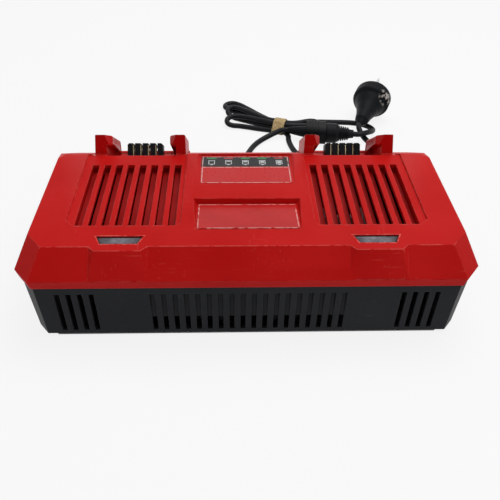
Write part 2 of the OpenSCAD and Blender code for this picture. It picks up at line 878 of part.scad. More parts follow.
module transformer_winding() {
    color("goldenrod")
        translate([core_x, core_y, board_top + 6.2])
            difference() {
                union() {
                    cylinder(r = coil_r, h = 1.2);
                    cylinder(r = coil_r - 1.2, h = core_h - 12.4);
                    translate([0, 0, core_h - 13.6]) cylinder(r = coil_r, h = 1.2);
                }
                translate([0, 0, -1]) cylinder(r = leg_r + fit, h = core_h);
            }
}

module heat_sink(x, y) {
    fin_count = 9;
    color("silver")
        translate([x, y, board_top]) {
            translate([-sink_len / 2, -1.5, 0]) cube([sink_len, 3, sink_h]);
            for (i = [0 : fin_count - 1])
                translate([-sink_len / 2 + i * (sink_len - 1.6) / (fin_count - 1), 1.5 - eps, 0])
                    cube([1.6, 11, sink_h]);
        }
}

module primary_heat_sink() {
    heat_sink(-88, -49.5);
}

module secondary_heat_sink() {
    heat_sink(74, 2);
}

module power_transistors() {
    color([0.12, 0.12, 0.12])
        for (p = [[-106, -51], [-88, -51], [-72, -51], [56, 0.5], [74, 0.5], [92, 0.5]])
            translate([p[0] - 5, p[1] - 4.6, board_top]) cube([10, 4.6, 20]);
}

module bulk_capacitors() {
    color([0.15, 0.18, 0.3])
        for (x = [18, 44])
            translate([x, -44, board_top])
                rotate_extrude()
                    polygon([
                        [0, 0], [bulk_cap_r, 0], [bulk_cap_r, 2.2], [bulk_cap_r - 0.8, 3],
                        [bulk_cap_r, 3.8], [bulk_cap_r, bulk_cap_h - 0.8], [bulk_cap_r - 0.8, bulk_cap_h],
                        [0, bulk_cap_h]
                    ]);
}

module output_capacitors() {
    color([0.1, 0.12, 0.14])
        for (x = [52, 66, 80, 94])
            translate([x, 36, board_top])
                rotate_extrude()
                    polygon([
                        [0, 0], [out_cap_r, 0], [out_cap_r, out_cap_h - 0.6], [out_cap_r - 0.6, out_cap_h],
                        [0, out_cap_h]
                    ]);
}

module filter_choke() {
    color("darkorange")
        translate([-10, screw_y - choke_gap, board_top + 5.5])
            rotate_extrude()
                translate([12, 0])
                    circle(r = 5.5);
}

module safety_capacitor() {
    color("gold")
        translate([-62, screw_y - capacitor_gap, board_top]) cube([26, 11, 18]);
}

module mains_fuse() {
    color("lightgray")
        translate([-46, screw_y - fuse_gap, board_top + 4]) {
            rotate([0, 90, 0]) cylinder(r = 2.6, h = 20);
            for (x = [1, 15])
                translate([x, -3.2, -4]) cube([4, 6.4, 5]);
        }
}

module bridge_rectifier() {
    color([0.1, 0.1, 0.1])
        translate([-98, 30, board_top]) cube([22, 5, 19]);
}

// Wires between the main board and a terminal block
module output_leads(side) {
    drop_u = fin_end_u - fin_len / 2;
    y = top_front_y + drop_u * cos(bay_angle) - 8 * sin(bay_angle);
    z = panel_z - drop_u * sin(bay_angle) - 8 * cos(bay_angle);
    color("crimson")
        for (x = [-9, -3, 3, 9])
            translate([side * bay_x + x, y, board_top])
                cylinder(r = 1.2, h = z - board_top - 0.9);
}

// ---- Fan ----

fan_back_y = -(base_back_y - base_draw - foot_chamfer - wall) + free;
fan_z = floor_z + fan_w / 2;

module fan_frame() {
    color([0.1, 0.1, 0.1])
        translate([0, fan_back_y, fan_z]) {
            difference() {
                translate([-fan_w / 2, 0, -fan_w / 2]) cube([fan_w, fan_d, fan_w]);
                translate([0, -1, 0]) rotate([-90, 0, 0]) cylinder(r = fan_r, h = fan_d + 2);
                for (x = [-1, 1], z = [-1, 1])
                    translate([x * (fan_w / 2 - 4), -1, z * (fan_w / 2 - 4)])
                        rotate([-90, 0, 0]) cylinder(r = 2.1, h = fan_d + 2);
            }
            // motor carrier: three struts, a plate and the bearing tube
            difference() {
                union() {
                    rotate([-90, 0, 0]) cylinder(r = hub_r, h = 1.6);
                    rotate([-90, 0, 0]) cylinder(r = shaft_r + 1.5, h = fan_d - 4);
                    for (a = [90 : 120 : 330])
                        rotate([0, a, 0]) translate([hub_r - 1, 0, -1]) cube([fan_r - hub_r + 1.5, 1.6, 2]);
                }
                translate([0, -1, 0]) rotate([-90, 0, 0]) cylinder(r = shaft_r + 0.05, h = fan_d + 2);
            }
        }
}

module fan_rotor() {
    cup_y = 2.6;
    cup_end = fan_d - 0.8;
    color([0.12, 0.12, 0.12])
        translate([0, fan_back_y, fan_z]) {
            difference() {
                translate([0, cup_y, 0]) rotate([-90, 0, 0]) cylinder(r = hub_r, h = cup_end - cup_y);
                translate([0, cup_y - 1, 0])
                    rotate([-90, 0, 0]) cylinder(r = hub_r - 1.4, h = cup_end - cup_y - 0.6);
            }
            translate([0, 1, 0]) rotate([-90, 0, 0]) cylinder(r = shaft_r, h = cup_end - 1.5);
            intersection() {
                translate([0, cup_y, 0]) rotate([-90, 0, 0]) difference() {
                    cylinder(r = fan_r - tip_gap, h = cup_end - cup_y);
                    translate([0, 0, -1]) cylinder(r = hub_r - 0.7, h = fan_d);
                }
                for (i = [0 : fan_blades - 1])
                    rotate([0, i * 360 / fan_blades, 0])
                        translate([hub_r - 1, cup_y + (cup_end - cup_y) / 2, 0])
                            rotate([48, 0, 0])
                                translate([0, -8, -0.7]) cube([fan_r, 16, 1.4]);
            }
        }
}

// ---- Mains lead ----

clamp_y = base_back_y - clamp_in;
lead_end_y = clamp_y - 8;

module strain_relief() {
    wall_y = base_y(exit_z);
    rings = 6;
    step = (relief_len - 8) / rings;
    color([0.09, 0.09, 0.09])
        translate([0, wall_y, exit_z])
            rotate([-90, 0, 0])
                rotate_extrude()
                    polygon(concat(
                        [[0, -wall - 3], [8.5, -wall - 3], [8.5, -wall - 1.2], [6, -wall - 1.2],
                         [6, 0.8], [7.6, 0.8], [7.6, 3]],
                        [for (i = [0 : rings - 1]) each [
                            [7.2 - i * 0.5, 3.6 + i * step], [7.2 - i * 0.5, 3.6 + (i + 0.62) * step],
                            [5.4 - i * 0.3, 3.6 + (i + 0.66) * step], [5.4 - i * 0.3, 3.6 + (i + 0.96) * step]
                        ]],
                        [[flex_d / 2 + 0.8, relief_len - 4], [flex_d / 2 + 0.4, relief_len], [0, relief_len]]
                    ));
}

// The lead's end inside the case, from the strain relief to the board
module inner_lead() {
    color([0.08, 0.08, 0.08])
        translate([0, lead_end_y, exit_z])
            rotate([-90, 0, 0])
                cylinder(r = flex_d / 2 - 0.1, h = base_y(exit_z) - wall - 3 - lead_end_y);
}

module inlet_wires() {
    color("saddlebrown")
        for (x = [-1.4, 1.4])
            translate([x, lead_end_y - 1.4, board_top]) {
                cylinder(r = 1, h = exit_z - board_top + 1);
                translate([0, 0, exit_z - board_top]) rotate([-90, 0, 0]) cylinder(r = 1, h = 1.4);
            }
}

module lead_clamp() {
    color([0.2, 0.2, 0.2])
        difference() {
            translate([-9, clamp_y - 3.5, exit_z + 0.6]) cube([18, 7, flex_d / 2 + 2]);
            translate([0, clamp_y - 5, exit_z]) rotate([-90, 0, 0]) cylinder(r = flex_d / 2, h = 10);
        }
}

FLEX_R = flex_d / 2;

// A tube swept along points, its rings turned square to the way they run
function unit(v) = v / norm(v);
function run_at(path, i) = unit(path[min(i + 1, len(path) - 1)] - path[max(i - 1, 0)]);
function side_at(t) = unit(cross(t, abs(t[2]) > 0.9 ? [0, 1, 0] : [0, 0, 1]));
function ring(path, i, r, n) =
    let (t = run_at(path, i), s = side_at(t), u = cross(s, t))
    [for (k = [0 : n - 1]) path[i] + r * (cos(360 * k / n) * s + sin(360 * k / n) * u)];

module swept_tube(path, r, n) {
    count = len(path);
    points = [for (i = [0 : count - 1]) each ring(path, i, r, n)];
    sides = [for (i = [0 : count - 2], k = [0 : n - 1])
        [i * n + k, i * n + (k + 1) % n, (i + 1) * n + (k + 1) % n, (i + 1) * n + k]];
    start = [for (k = [n - 1 : -1 : 0]) k];
    finish = [for (k = [0 : n - 1]) (count - 1) * n + k];
    polyhedron(points, concat([start], sides, [finish]));
}

coupler_at = [72.5, 215.5, 11];
coupler_a = -6;
coupler_len = 53;
coupler_run = [cos(coupler_a), sin(coupler_a), 0];
coupler_end = coupler_at + coupler_len * coupler_run;
plug_at = [153, 268, 21.4];
plug_turn = 25;
plug_tilt = 12;
plug_tail = plug_grip + 6;
plug_run = [sin(plug_turn) * cos(plug_tilt), cos(plug_turn) * cos(plug_tilt), sin(plug_tilt)];
plug_neck = plug_at - plug_tail * plug_run;

lead_start = [0, base_y(exit_z) + relief_len, exit_z];
LEAD_PATH = [
    lead_start, lead_start + [0, 5, 0], [0, 139, 17], [1, 149, 12], [3, 160, 7], [5, 173, 4],
    [9, 187, 3.2], [15, 200, 3.2], [23, 211, 3.4], [32, 218, 5], [40, 221.4, 7.4], [47, 222.6, 9.4],
    [55, 222, 9.8]
];
PLUG_LEAD_PATH = [
    plug_neck, plug_neck - 4 * plug_run, [134.8, 222, 9], [138, 216, 5], [141, 210, 3.3], [145, 200, 3.2],
    [148, 188, 3.2], [148, 175, 3.2], [144, 162, 3.2], [135, 151, 3.2], [121, 144, 3.2], [106, 142, 3.2],
    [90, 145, 3.2], [76, 153, 3.2], [65, 167, 3.2], [58, 184, 3.2], [52, 202, 3.2], [49, 217, 3.2],
    [51, 230, 3.2]
];
TURN_PATH = [
    coupler_end, coupler_end + 6 * coupler_run, [138, 212, 11], [145, 218, 9.4], [150, 226, 6.4],
    [152, 234, 4.2], [149, 242, 3.4], [142, 248, 3.2], [132, 251, 3.2], [121, 252, 3.2], [110, 251, 3.2],
    [99, 248, 3.8], [90, 244, 5], [85, 242, 6]
];

module charger_lead() {
    color([0.08, 0.08, 0.08]) swept_tube(LEAD_PATH, FLEX_R, 8);
}

module plug_lead() {
    color([0.08, 0.08, 0.08]) swept_tube(PLUG_LEAD_PATH, FLEX_R, 8);
}

module turn_lead() {
    color([0.08, 0.08, 0.08]) swept_tube(TURN_PATH, FLEX_R, 8);
}

// A bar in plan from a to b, with a round end at b
module round_bar(a, b, r) {
    run = b - a;
    translate(b) circle(r = r);
    translate(a)
        rotate(atan2(run[1], run[0]))
            translate([0, 0.3 - r]) square([norm(run), 2 * r - 0.6]);
}

hank_lift = 1.2;
TIE_PLACE = [45, 239];

// The hank's outer form, grown by g all round
module hank_form(g) {
    translate([0, 0, hank_lift - g])
        linear_extrude(height = hank_h + 2 * g) {
            translate(TIE_PLACE) circle(r = 11.5 + g);
            round_bar(TIE_PLACE, [-9, 296], 12 + g);
            round_bar(TIE_PLACE, [-8.5, 272], 11 + g);
            round_bar(TIE_PLACE, [-5, 256], 11 + g);
            round_bar(TIE_PLACE, [78, 241], 9 + g);
        }
}

module lead_hank() {
    color([0.1, 0.1, 0.1]) hank_form(0);
}

// A wide elastic band round the hank
module hank_tie() {
    color("tan")
        difference() {
            intersection() {
                translate([TIE_PLACE[0], TIE_PLACE[1], 0])
                    rotate([0, 0, -20])
                        translate([-6, -30, 0]) cube([12, 60, hank_h + 10]);
                hank_form(1.1);
            }
            hank_form(0.1);
        }
}

// Coupler that joins the charger's lead to the plug's lead
module at_coupler() {
    translate(coupler_at)
        rotate([0, 0, coupler_a])
            rotate([0, 90, 0])
                children();
}

module round_box(h, w, d, r) {
    linear_extrude(height = h) {
        square([w - 2 * r, d], center = true);
        square([w, d - 2 * r], center = true);
        for (x = [-1, 1], y = [-1, 1])
            translate([x * (w / 2 - r), y * (d / 2 - r)]) circle(r = r);
    }
}

module coupler_socket() {
    color([0.07, 0.07, 0.07])
        at_coupler() {
            round_box(22, 20, 25, 6);
            for (i = [0 : 4])
                translate([0, 0, 1.5 + i * 3]) round_box(1.5, 21.4, 26.4, 6.6);
        }
}

module coupler_boot() {
    path = [[74, 215.2, 11], [68, 217, 10.8], [61, 219.6, 10.2], [55, 222, 9.8]];
    radii = [6.6, 5.8, 4.8, 3.8];
    color([0.09, 0.09, 0.09])
        difference() {
            hull_chain(path, radii);
            at_coupler() translate([-20, -20, 0]) cube(40);
        }
}

module hull_chain(path, radii) {
    for (i = [0 : len(path) - 2])
        hull() {
            translate(path[i]) sphere(r = radii[i], $fn = 16);
            translate(path[i + 1]) sphere(r = radii[i + 1], $fn = 16);
        }
}

module coupler_plug() {
    color([0.07, 0.07, 0.07])
        at_coupler()
            translate([0, 0, 22])
                rotate_extrude()
                    polygon(concat(
                        [[0, 0], [10.4, 0], [11, 1], [11, 11], [9, 14]],
                        [for (i = [0 : 4]) each [
                            [8.6 - i * 0.4, 14 + i * 2.4], [8.6 - i * 0.4, 15.4 + i * 2.4],
                            [6.6 - i * 0.3, 15.5 + i * 2.4], [6.6 - i * 0.3, 16.3 + i * 2.4]
                        ]],
                        [[5, 26.4], [4.4, 31], [0, 31]]
                    ));
}

module at_plug() {
    translate(plug_at)
        rotate([0, 0, -plug_turn])
            rotate([plug_tilt - 90, 0, 0])
                children();
}

module plug_body() {
    color([0.1, 0.1, 0.11])
        at_plug()
            rotate_extrude()
                polygon([
                    [0, -plug_tail], [flex_d / 2 + 0.6, -plug_tail], [flex_d / 2 + 1.4, -plug_grip - 4],
                    [6.4, -plug_grip - 0.5], [7.6, -plug_grip + 1], [9.5, -plug_grip * 0.66],
                    [13, -plug_grip * 0.34], [plug_r - 3.6, -2], [plug_r - 0.8, 0.6],
                    [plug_r, 2.4], [plug_r, plug_head_t - 2.4], [plug_r - 1.6, plug_head_t],
                    [0, plug_head_t]
                ]);
}

module plug_pins() {
    color("silver")
        at_plug()
            translate([0, 0, plug_head_t]) {
                for (s = [-1, 1])
                    translate([s * 6.9, 4, 0])
                        rotate([0, 0, s * 30])
                            translate([-0.8, -3.15, 0]) cube([1.6, 6.3, 17]);
                translate([-0.8, -13, 0]) cube([1.6, 6.3, 19]);
            }
}

top_cover();
base_shell();
grille_comb(-1);  // grille_comb_left
grille_comb(1);  // grille_comb_right
bay_tray(-1);  // bay_tray_left
bay_tray(1);  // bay_tray_right
terminal_block(-1);  // terminal_block_left
terminal_block(1);  // terminal_block_right
contact_blades(-1);  // contact_blades_left
contact_blades(1);  // contact_blades_right
status_lens(-1);  // status_lens_left
status_lens(1);  // status_lens_right
lamp_board(-1);  // lamp_board_left
lamp_board(1);  // lamp_board_right
status_label();
badge_plate();
rubber_feet();
case_screws();
main_board();
board_screws();
transformer_core();
transformer_winding();
primary_heat_sink();
secondary_heat_sink();
power_transistors();
bulk_capacitors();
output_capacitors();
filter_choke();
safety_capacitor();
mains_fuse();
bridge_rectifier();
output_leads(-1);  // output_leads_left
output_leads(1);  // output_leads_right
fan_frame();
fan_rotor();
strain_relief();
inner_lead();
inlet_wires();
lead_clamp();
charger_lead();
turn_lead();
plug_lead();
lead_hank();
hank_tie();
coupler_boot();
coupler_socket();
coupler_plug();
plug_body();
plug_pins();
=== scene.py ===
# %% [markdown]
# # A two-bay charger for power tool batteries
# The real object is a wide, low case: a red cover with vents and two sloping bays, a dark base,
# and a mains lead that is folded up, held by an elastic band, and ends in a heavy plug.
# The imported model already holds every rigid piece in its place. This lesson loads it, lays the
# two flexible leads, makes the soft or finely worked pieces again, and gives every surface the
# finish that the real one has. All lengths are metres unless a name says otherwise.

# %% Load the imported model
import math
from functools import reduce

import bmesh
import bpy
from mathutils import Matrix, Vector, noise


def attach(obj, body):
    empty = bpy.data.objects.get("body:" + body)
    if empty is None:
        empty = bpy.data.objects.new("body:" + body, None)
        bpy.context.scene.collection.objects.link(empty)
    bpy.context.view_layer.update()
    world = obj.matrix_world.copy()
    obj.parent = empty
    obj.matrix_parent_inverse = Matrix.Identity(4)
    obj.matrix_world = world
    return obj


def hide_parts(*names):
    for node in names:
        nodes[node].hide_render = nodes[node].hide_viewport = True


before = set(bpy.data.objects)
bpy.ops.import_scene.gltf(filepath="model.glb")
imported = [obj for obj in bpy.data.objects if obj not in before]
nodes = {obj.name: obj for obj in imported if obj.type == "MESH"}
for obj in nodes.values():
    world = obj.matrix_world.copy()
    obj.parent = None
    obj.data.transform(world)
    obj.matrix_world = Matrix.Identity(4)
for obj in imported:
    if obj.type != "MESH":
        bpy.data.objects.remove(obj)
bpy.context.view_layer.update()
print("pieces in the model:", len(nodes))

# %% [markdown]
# ## Camera
# A bench shot from above and a little to the left, with a lens of about 46 mm. A camera could be
# aimed with a constraint, but three plain direction vectors say exactly where it looks, how far it
# tips down and how much it leans, and they never change when something else moves.

# %% Camera
def placed(name, data):
    thing = bpy.data.objects.new(name, data)
    bpy.context.scene.collection.objects.link(thing)
    return thing


CAMERA_LENS, SENSOR_WIDTH = 46.256, 36.0
TURN_TIP_LEAN = (2.19, 38.17, 0.99)
eye = Vector((-0.01281, -0.43219, 0.35193))
turn, tip, lean = (math.radians(angle) for angle in TURN_TIP_LEAN)
ahead = Vector((math.sin(turn) * math.cos(tip), math.cos(turn) * math.cos(tip), -math.sin(tip)))
level = Vector((math.cos(turn), -math.sin(turn), 0))
over = level.cross(ahead)
camera_x = math.cos(lean) * level + math.sin(lean) * over
camera_y = math.cos(lean) * over - math.sin(lean) * level
camera_data = bpy.data.cameras.new("bench_camera")
camera_data.sensor_fit = "HORIZONTAL"
camera_data.sensor_width = SENSOR_WIDTH
camera_data.lens = CAMERA_LENS
camera = placed("bench_camera", camera_data)
turned = Matrix((camera_x, camera_y, -ahead)).transposed().to_4x4()
camera.matrix_world = Matrix.Translation(eye) @ turned
bpy.context.scene.camera = camera
print("camera at", [round(v, 3) for v in eye], "lens", camera_data.lens)

# %% [markdown]
# ## The two leads
# A lead is a round tube of one thickness that follows a smooth line, so a curve with a round bevel
# makes it better than any mesh: the points stay few and easy to move. The points are written in
# millimetres, because that is how a lead is measured, and automatic handles keep each bend even.
# The first lead leaves the back of the case through its strain relief and runs to the coupler.

# %% Lead helper
LEAD_RADIUS, CURVE_STEPS, ROUND_STEPS = 0.003, 8, 5
MILLIMETRE = 0.001


def in_metres(points):
    return [Vector(point) * MILLIMETRE for point in points]


def lay_lead(name, points):
    curve = bpy.data.curves.new(name, "CURVE")
    curve.dimensions = "3D"
    curve.resolution_u = CURVE_STEPS
    curve.bevel_depth = LEAD_RADIUS
    curve.bevel_resolution = ROUND_STEPS
    curve.use_fill_caps = True
    spline = curve.splines.new("BEZIER")
    spline.bezier_points.add(len(points) - 1)
    for knot, point in zip(spline.bezier_points, points):
        knot.co = point
        knot.handle_left_type = knot.handle_right_type = "AUTO"
    return placed(name, curve)


def run_of(lead):
    bare = lead.data.copy()
    bare.bevel_depth = 0
    probe = bpy.data.objects.new("probe", bare)
    line = bpy.data.meshes.new_from_object(probe)
    places = [v.co.copy() for v in line.vertices]
    bpy.data.objects.remove(probe)
    bpy.data.curves.remove(bare)
    bpy.data.meshes.remove(line)
    return sum((b - a).length for a, b in zip(places, places[1:]))


# %% Charger lead
charger_points = in_metres([
    (0, 89.93, 20), (0, 101, 20), (0, 112, 20), (0, 123.93, 20), (0, 128, 19.9), (0, 133.5, 18.8),
    (0.2, 141, 16), (1, 149.5, 12), (3, 160, 7), (5, 173, 4), (9, 187, 3.2), (15, 200, 3.2),
    (23, 211, 3.4), (32, 218, 5), (40, 221.4, 7.4), (47, 222.6, 9.4), (55, 222, 9.8),
    (61, 219.6, 10.2), (68, 217, 10.8),
])
charger_cord = lay_lead("charger_cord", charger_points)
print("charger lead runs", round(run_of(charger_cord), 4))

# %% [markdown]
# The second lead leaves the coupler, turns back, and is folded three times into a hank. Six runs
# go through the elastic band: four on the bench and two on top of them. A small frame at the band,
# with one axis along the runs and one across them, places each run without any guessing. The three
# long folds lie on the left of the band and the two short turns that join them on its right, one
# above the other. The last two points run into the neck of the plug, in line with it.

# %% Plug lead
BAND_TURN = math.radians(20)
band_at = Vector((45, 239, 0))
along = Vector((-math.cos(BAND_TURN), math.sin(BAND_TURN), 0))
across = Vector((math.sin(BAND_TURN), math.cos(BAND_TURN), 0))


def in_band(offset, ahead_of, height):
    place = band_at + across * offset + along * ahead_of
    return (place.x, place.y, height)


plug_run = Vector((0.4134, 0.8865, 0.2079))
plug_neck = Vector((135.64, 230.77, 12.67))
turn_back = [
    (125.21, 209.96, 11), (131.2, 209.4, 11), (138, 212, 11), (145, 218, 9.4), (150, 226, 6.4),
    (152, 234, 4.2), (149, 242, 3.4), (142, 248.5, 3.2), (132, 252, 3.2), (121, 253.5, 3.2),
    (110, 254, 3.2), (99, 254.4, 3.2), (88, 254.5, 3.2), (76, 252.5, 3.2), (65, 249, 3.4),
]
far_fold = [
    in_band(9, -8, 3.9), in_band(9, 0, 4), in_band(9, 8, 3.8), (30.5, 263, 3.3), (20, 275.5, 3.1),
    (8, 290.5, 3.1), (-2.5, 301.6, 3.1), (-9.4, 304.8, 3.1), (-16, 302, 3.1), (-18.4, 295.6, 3.1),
    (-15, 289, 3.1), (-5, 280.4, 3.1), (8, 269.4, 3.1), (21, 257.6, 3.3), (31, 249.3, 3.7),
    in_band(3, 6, 4), in_band(3, 0, 4), in_band(3, -9, 4.2),
]
low_turn = [
    (62, 238.4, 3.6), (70, 241, 3.2), (76.4, 244.3, 3.1), (82.5, 245.6, 3.1), (87, 243.7, 3.1),
    (88.8, 239.3, 3.1), (87, 234.9, 3.1), (82.5, 233, 3.1), (75, 232.8, 3.2), (67, 232.8, 3.4),
    (60, 232, 3.8),
]
middle_fold = [
    in_band(-3, -9, 4), in_band(-3, 0, 4), in_band(-3, 7, 4), (31, 243.2, 3.7), (20, 250, 3.2),
    (9, 256.5, 3.1), (-2, 262.5, 3.1), (-9, 265.6, 4), (-14, 270.4, 6), (-14.6, 276.6, 8),
    (-9.6, 281, 9.1), (-2, 278.2, 9.2), (4, 273.5, 9.2), (14, 264.5, 9.3), (25, 253.5, 9.6),
    (34, 246.5, 9.9), in_band(3.05, 6, 10), in_band(3.05, 0, 10), in_band(3.05, -9, 10),
]
high_turn = [
    (62, 238.5, 10), (70, 240.8, 9.8), (76, 243.6, 9.5), (82, 244.9, 9.3), (86.4, 243.1, 9.3),
    (88.2, 238.8, 9.3), (86.4, 234.5, 9.3), (82, 232.7, 9.3), (75, 232.6, 9.5), (67, 232.7, 9.8),
    (60, 232.1, 10),
]
near_fold = [
    in_band(-3.05, -9, 10), in_band(-3.05, 0, 10), in_band(-3.05, 7, 9.9), (31, 242.4, 9.7),
    (20, 248.4, 9.3), (9, 253.8, 9.2), (-1, 257, 9.2), (-9.6, 257.6, 8.8), (-14.2, 255.6, 7.8),
    (-16.2, 251.2, 6.4), (-14.4, 246.9, 4.9), (-9.8, 245, 3.8), (-3, 244.8, 3.2), (7, 242.2, 3.1),
    (19, 238.2, 3.1),
    (31, 234.3, 3.5), in_band(-9, 5, 4), in_band(-9, 0, 4), in_band(-9, -8, 3.8),
]
to_plug = [
    (53, 221.5, 3.2), (53, 211, 3.2), (54.5, 198, 3.2), (58, 184, 3.2), (65, 167, 3.2),
    (76, 153, 3.2), (90, 145, 3.2), (106, 142, 3.2), (121, 144, 3.2), (135, 151, 3.2),
    (144, 162, 3.2), (148, 175, 3.2), (148, 188, 3.2), (145, 200, 3.2), (141, 210, 3.3),
    (138, 216, 5), (134.8, 222, 9),
    tuple(plug_neck - plug_run * 4), tuple(plug_neck + plug_run * 2),
]
hank = far_fold + low_turn + middle_fold + high_turn + near_fold
plug_points = in_metres(turn_back + hank + to_plug)
plug_cord = lay_lead("plug_cord", plug_points)
print("plug lead runs", round(run_of(plug_cord), 4), "through", len(plug_points), "points")

# %% [markdown]
# ## Helpers for finishes
# A material is a small network of nodes. A few helpers keep the later cells short: one adds a node
# and sets its sockets, one feeds a socket with either a number or another node, and others add up
# or stretch values, combine masks and mix two colours by a mask. Colours are written as a paint
# chart gives them, 0 to 255, and are turned into the linear light that Blender works in.

# %% Finish helpers
def chart(red, green, blue):
    def linear(step):
        share = step / 255
        return share / 12.92 if share <= 0.04045 else ((share + 0.055) / 1.055) ** 2.4
    return (linear(red), linear(green), linear(blue), 1.0)


def feed(tree, value, socket):
    if isinstance(value, bpy.types.NodeSocket):
        tree.links.new(value, socket)
    else:
        socket.default_value = value


def feed_all(tree, node, values):
    for name, value in values.items():
        feed(tree, value, node.inputs[name])


def add(tree, kind, values=None, **settings):
    node = tree.nodes.new("ShaderNode" + kind)
    for name, setting in settings.items():
        setattr(node, name, setting)
    feed_all(tree, node, values or {})
    return node


def sums(tree, operation, first, second=0.0, third=0.0):
    node = add(tree, "Math", {0: first, 1: second, 2: third}, operation=operation)
    return node.outputs[0]


def all_of(tree, *masks):
    return reduce(lambda first, second: sums(tree, "MULTIPLY", first, second), masks)


def any_of(tree, *masks):
    return reduce(lambda first, second: sums(tree, "MAXIMUM", first, second), masks)


def mixed(tree, mask, first, second):
    node = add(tree, "Mix", {0: mask, 6: first, 7: second}, data_type="RGBA")
    return node.outputs[2]


def ranged(tree, value, low, high, to_low=0.0, to_high=1.0):
    reach = {"From Min": low, "From Max": high, "To Min": to_low, "To Max": to_high}
    return add(tree, "MapRange", {"Value": value, **reach}).outputs[0]


def object_place(tree):
    return add(tree, "TexCoord").outputs["Object"]


def grains(tree, place, scale, detail=2.0):
    spread = {"Vector": place, "Scale": scale, "Detail": detail}
    return add(tree, "TexNoise", spread).outputs["Fac"]


def noisy(tree, place, scale, detail, low, high):
    """A cloudy mask: noise of this scale, stretched from 0 at low to 1 at high."""
    return ranged(tree, grains(tree, place, scale, detail), low, high)


def new_group(name, inputs, outputs):
    group = bpy.data.node_groups.new(name, "ShaderNodeTree")
    for label, start in inputs.items():
        socket = group.interface.new_socket(label, in_out="INPUT", socket_type="NodeSocketFloat")
        socket.default_value = start
    for label, kind in outputs.items():
        group.interface.new_socket(label, in_out="OUTPUT", socket_type="NodeSocket" + kind)
    return group, group.nodes.new("NodeGroupInput"), group.nodes.new("NodeGroupOutput")


def use(tree, group, values):
    node = tree.nodes.new("ShaderNodeGroup")
    node.node_tree = group
    feed_all(tree, node, values)
    return node


def bumped(tree, strength, distance, height, **under):
    relief = {"Strength": strength, "Distance": distance, "Height": height}
    return add(tree, "Bump", {**relief, **under}).outputs[0]


def new_finish(name):
    finish = bpy.data.materials.new(name)
    finish.use_nodes = True
    return finish, finish.node_tree, finish.node_tree.nodes["Principled BSDF"]


# %% [markdown]
# ## Bench, background and light
# The object stands on a pale bench. To the camera, to gloss and to glass the bench is nearly
# white, so nothing dark is mirrored in the plastic, but it still takes the object's shadow. Under
# the case the bench keeps its own shade, so no white shows through the vents and keyholes.
# One large lamp overhead and two weaker ones give the soft light of a studio table. Each lamp's
# line gives its place, the point it is aimed at, its two sides in metres and its power in watts.

# %% Bench and background
WHITE = (1, 1, 1, 1)


def seen_white(tree, surface, output, share):
    """Shows white to the camera, to gloss and to glass, for a share of the real surface."""
    path = add(tree, "LightPath").outputs
    seen = any_of(tree, path["Is Camera Ray"], path["Is Glossy Ray"], path["Is Transmission Ray"])
    kind = "Background" if output.type == "OUTPUT_WORLD" else "Emission"
    white = add(tree, kind, {"Color": WHITE, "Strength": 1.0})
    shades = {0: all_of(tree, seen, share), 1: surface.outputs[0], 2: white.outputs[0]}
    feed(tree, add(tree, "MixShader", shades).outputs[0], output.inputs["Surface"])


BENCH_HALF, BENCH_SHADE, BENCH_ROUGHNESS, BENCH_WHITE = 4.0, 0.8, 0.8, 0.85
bench_form = bmesh.new()
bmesh.ops.create_grid(bench_form, x_segments=1, y_segments=1, size=BENCH_HALF)
bench_mesh = bpy.data.meshes.new("bench")
bench_form.to_mesh(bench_mesh)
bench_form.free()
bench = placed("bench", bench_mesh)
bench_finish, tree, shader = new_finish("bench")
shader.inputs["Base Color"].default_value = (BENCH_SHADE, BENCH_SHADE, BENCH_SHADE, 1)
shader.inputs["Roughness"].default_value = BENCH_ROUGHNESS
print("bench is", 2 * BENCH_HALF, "m wide")

# %% [markdown]
# The case's own footprint is a rectangle with its corners cut off. Three tests on the distance
# from the middle say whether a point lies outside it: one sideways, one forwards and one across
# the corner. A picture of the footprint would do too, but three numbers stay sharp at any size.

# %% White outside the footprint
CASE_HALF_WIDTH, CASE_HALF_DEPTH = 0.154, 0.0862
CORNER_LEAN, CORNER_REACH = 1.24, 0.2635
axes = add(tree, "SeparateXYZ", {"Vector": object_place(tree)})
sideways, forwards = (sums(tree, "ABSOLUTE", axes.outputs[axis]) for axis in ("X", "Y"))
to_corner = sums(tree, "MULTIPLY_ADD", sideways, CORNER_LEAN, forwards)
outside = any_of(tree, sums(tree, "GREATER_THAN", sideways, CASE_HALF_WIDTH),
                 sums(tree, "GREATER_THAN", forwards, CASE_HALF_DEPTH),
                 sums(tree, "GREATER_THAN", to_corner, CORNER_REACH))
bench_share = sums(tree, "MULTIPLY", outside, BENCH_WHITE)
seen_white(tree, shader, tree.nodes["Material Output"], bench_share)
bench_mesh.materials.append(bench_finish)
print("bench finish has", len(tree.nodes), "nodes")

# %% [markdown]
# The background is a weak, even sky that the camera sees as white, and the three lamps are flat
# panels, as in a photo tent. A sky alone would give almost no shadow, and a sun would give a hard
# one.

# %% World and lamps
SKY = 0.26
world = bpy.data.worlds.new("studio")
world.use_nodes = True
bpy.context.scene.world = world
sky = world.node_tree.nodes["Background"]
sky.inputs["Color"].default_value = WHITE
sky.inputs["Strength"].default_value = SKY
seen_white(world.node_tree, sky, world.node_tree.nodes["World Output"], 1.0)


def soft_lamp(name, place, target, size, watts):
    lamp_data = bpy.data.lights.new(name, "AREA")
    lamp_data.shape = "RECTANGLE"
    lamp_data.size, lamp_data.size_y = size
    lamp_data.energy = watts
    aim = (Vector(target) - Vector(place)).to_track_quat("-Z", "Y")
    placed(name, lamp_data).matrix_world = Matrix.Translation(place) @ aim.to_matrix().to_4x4()


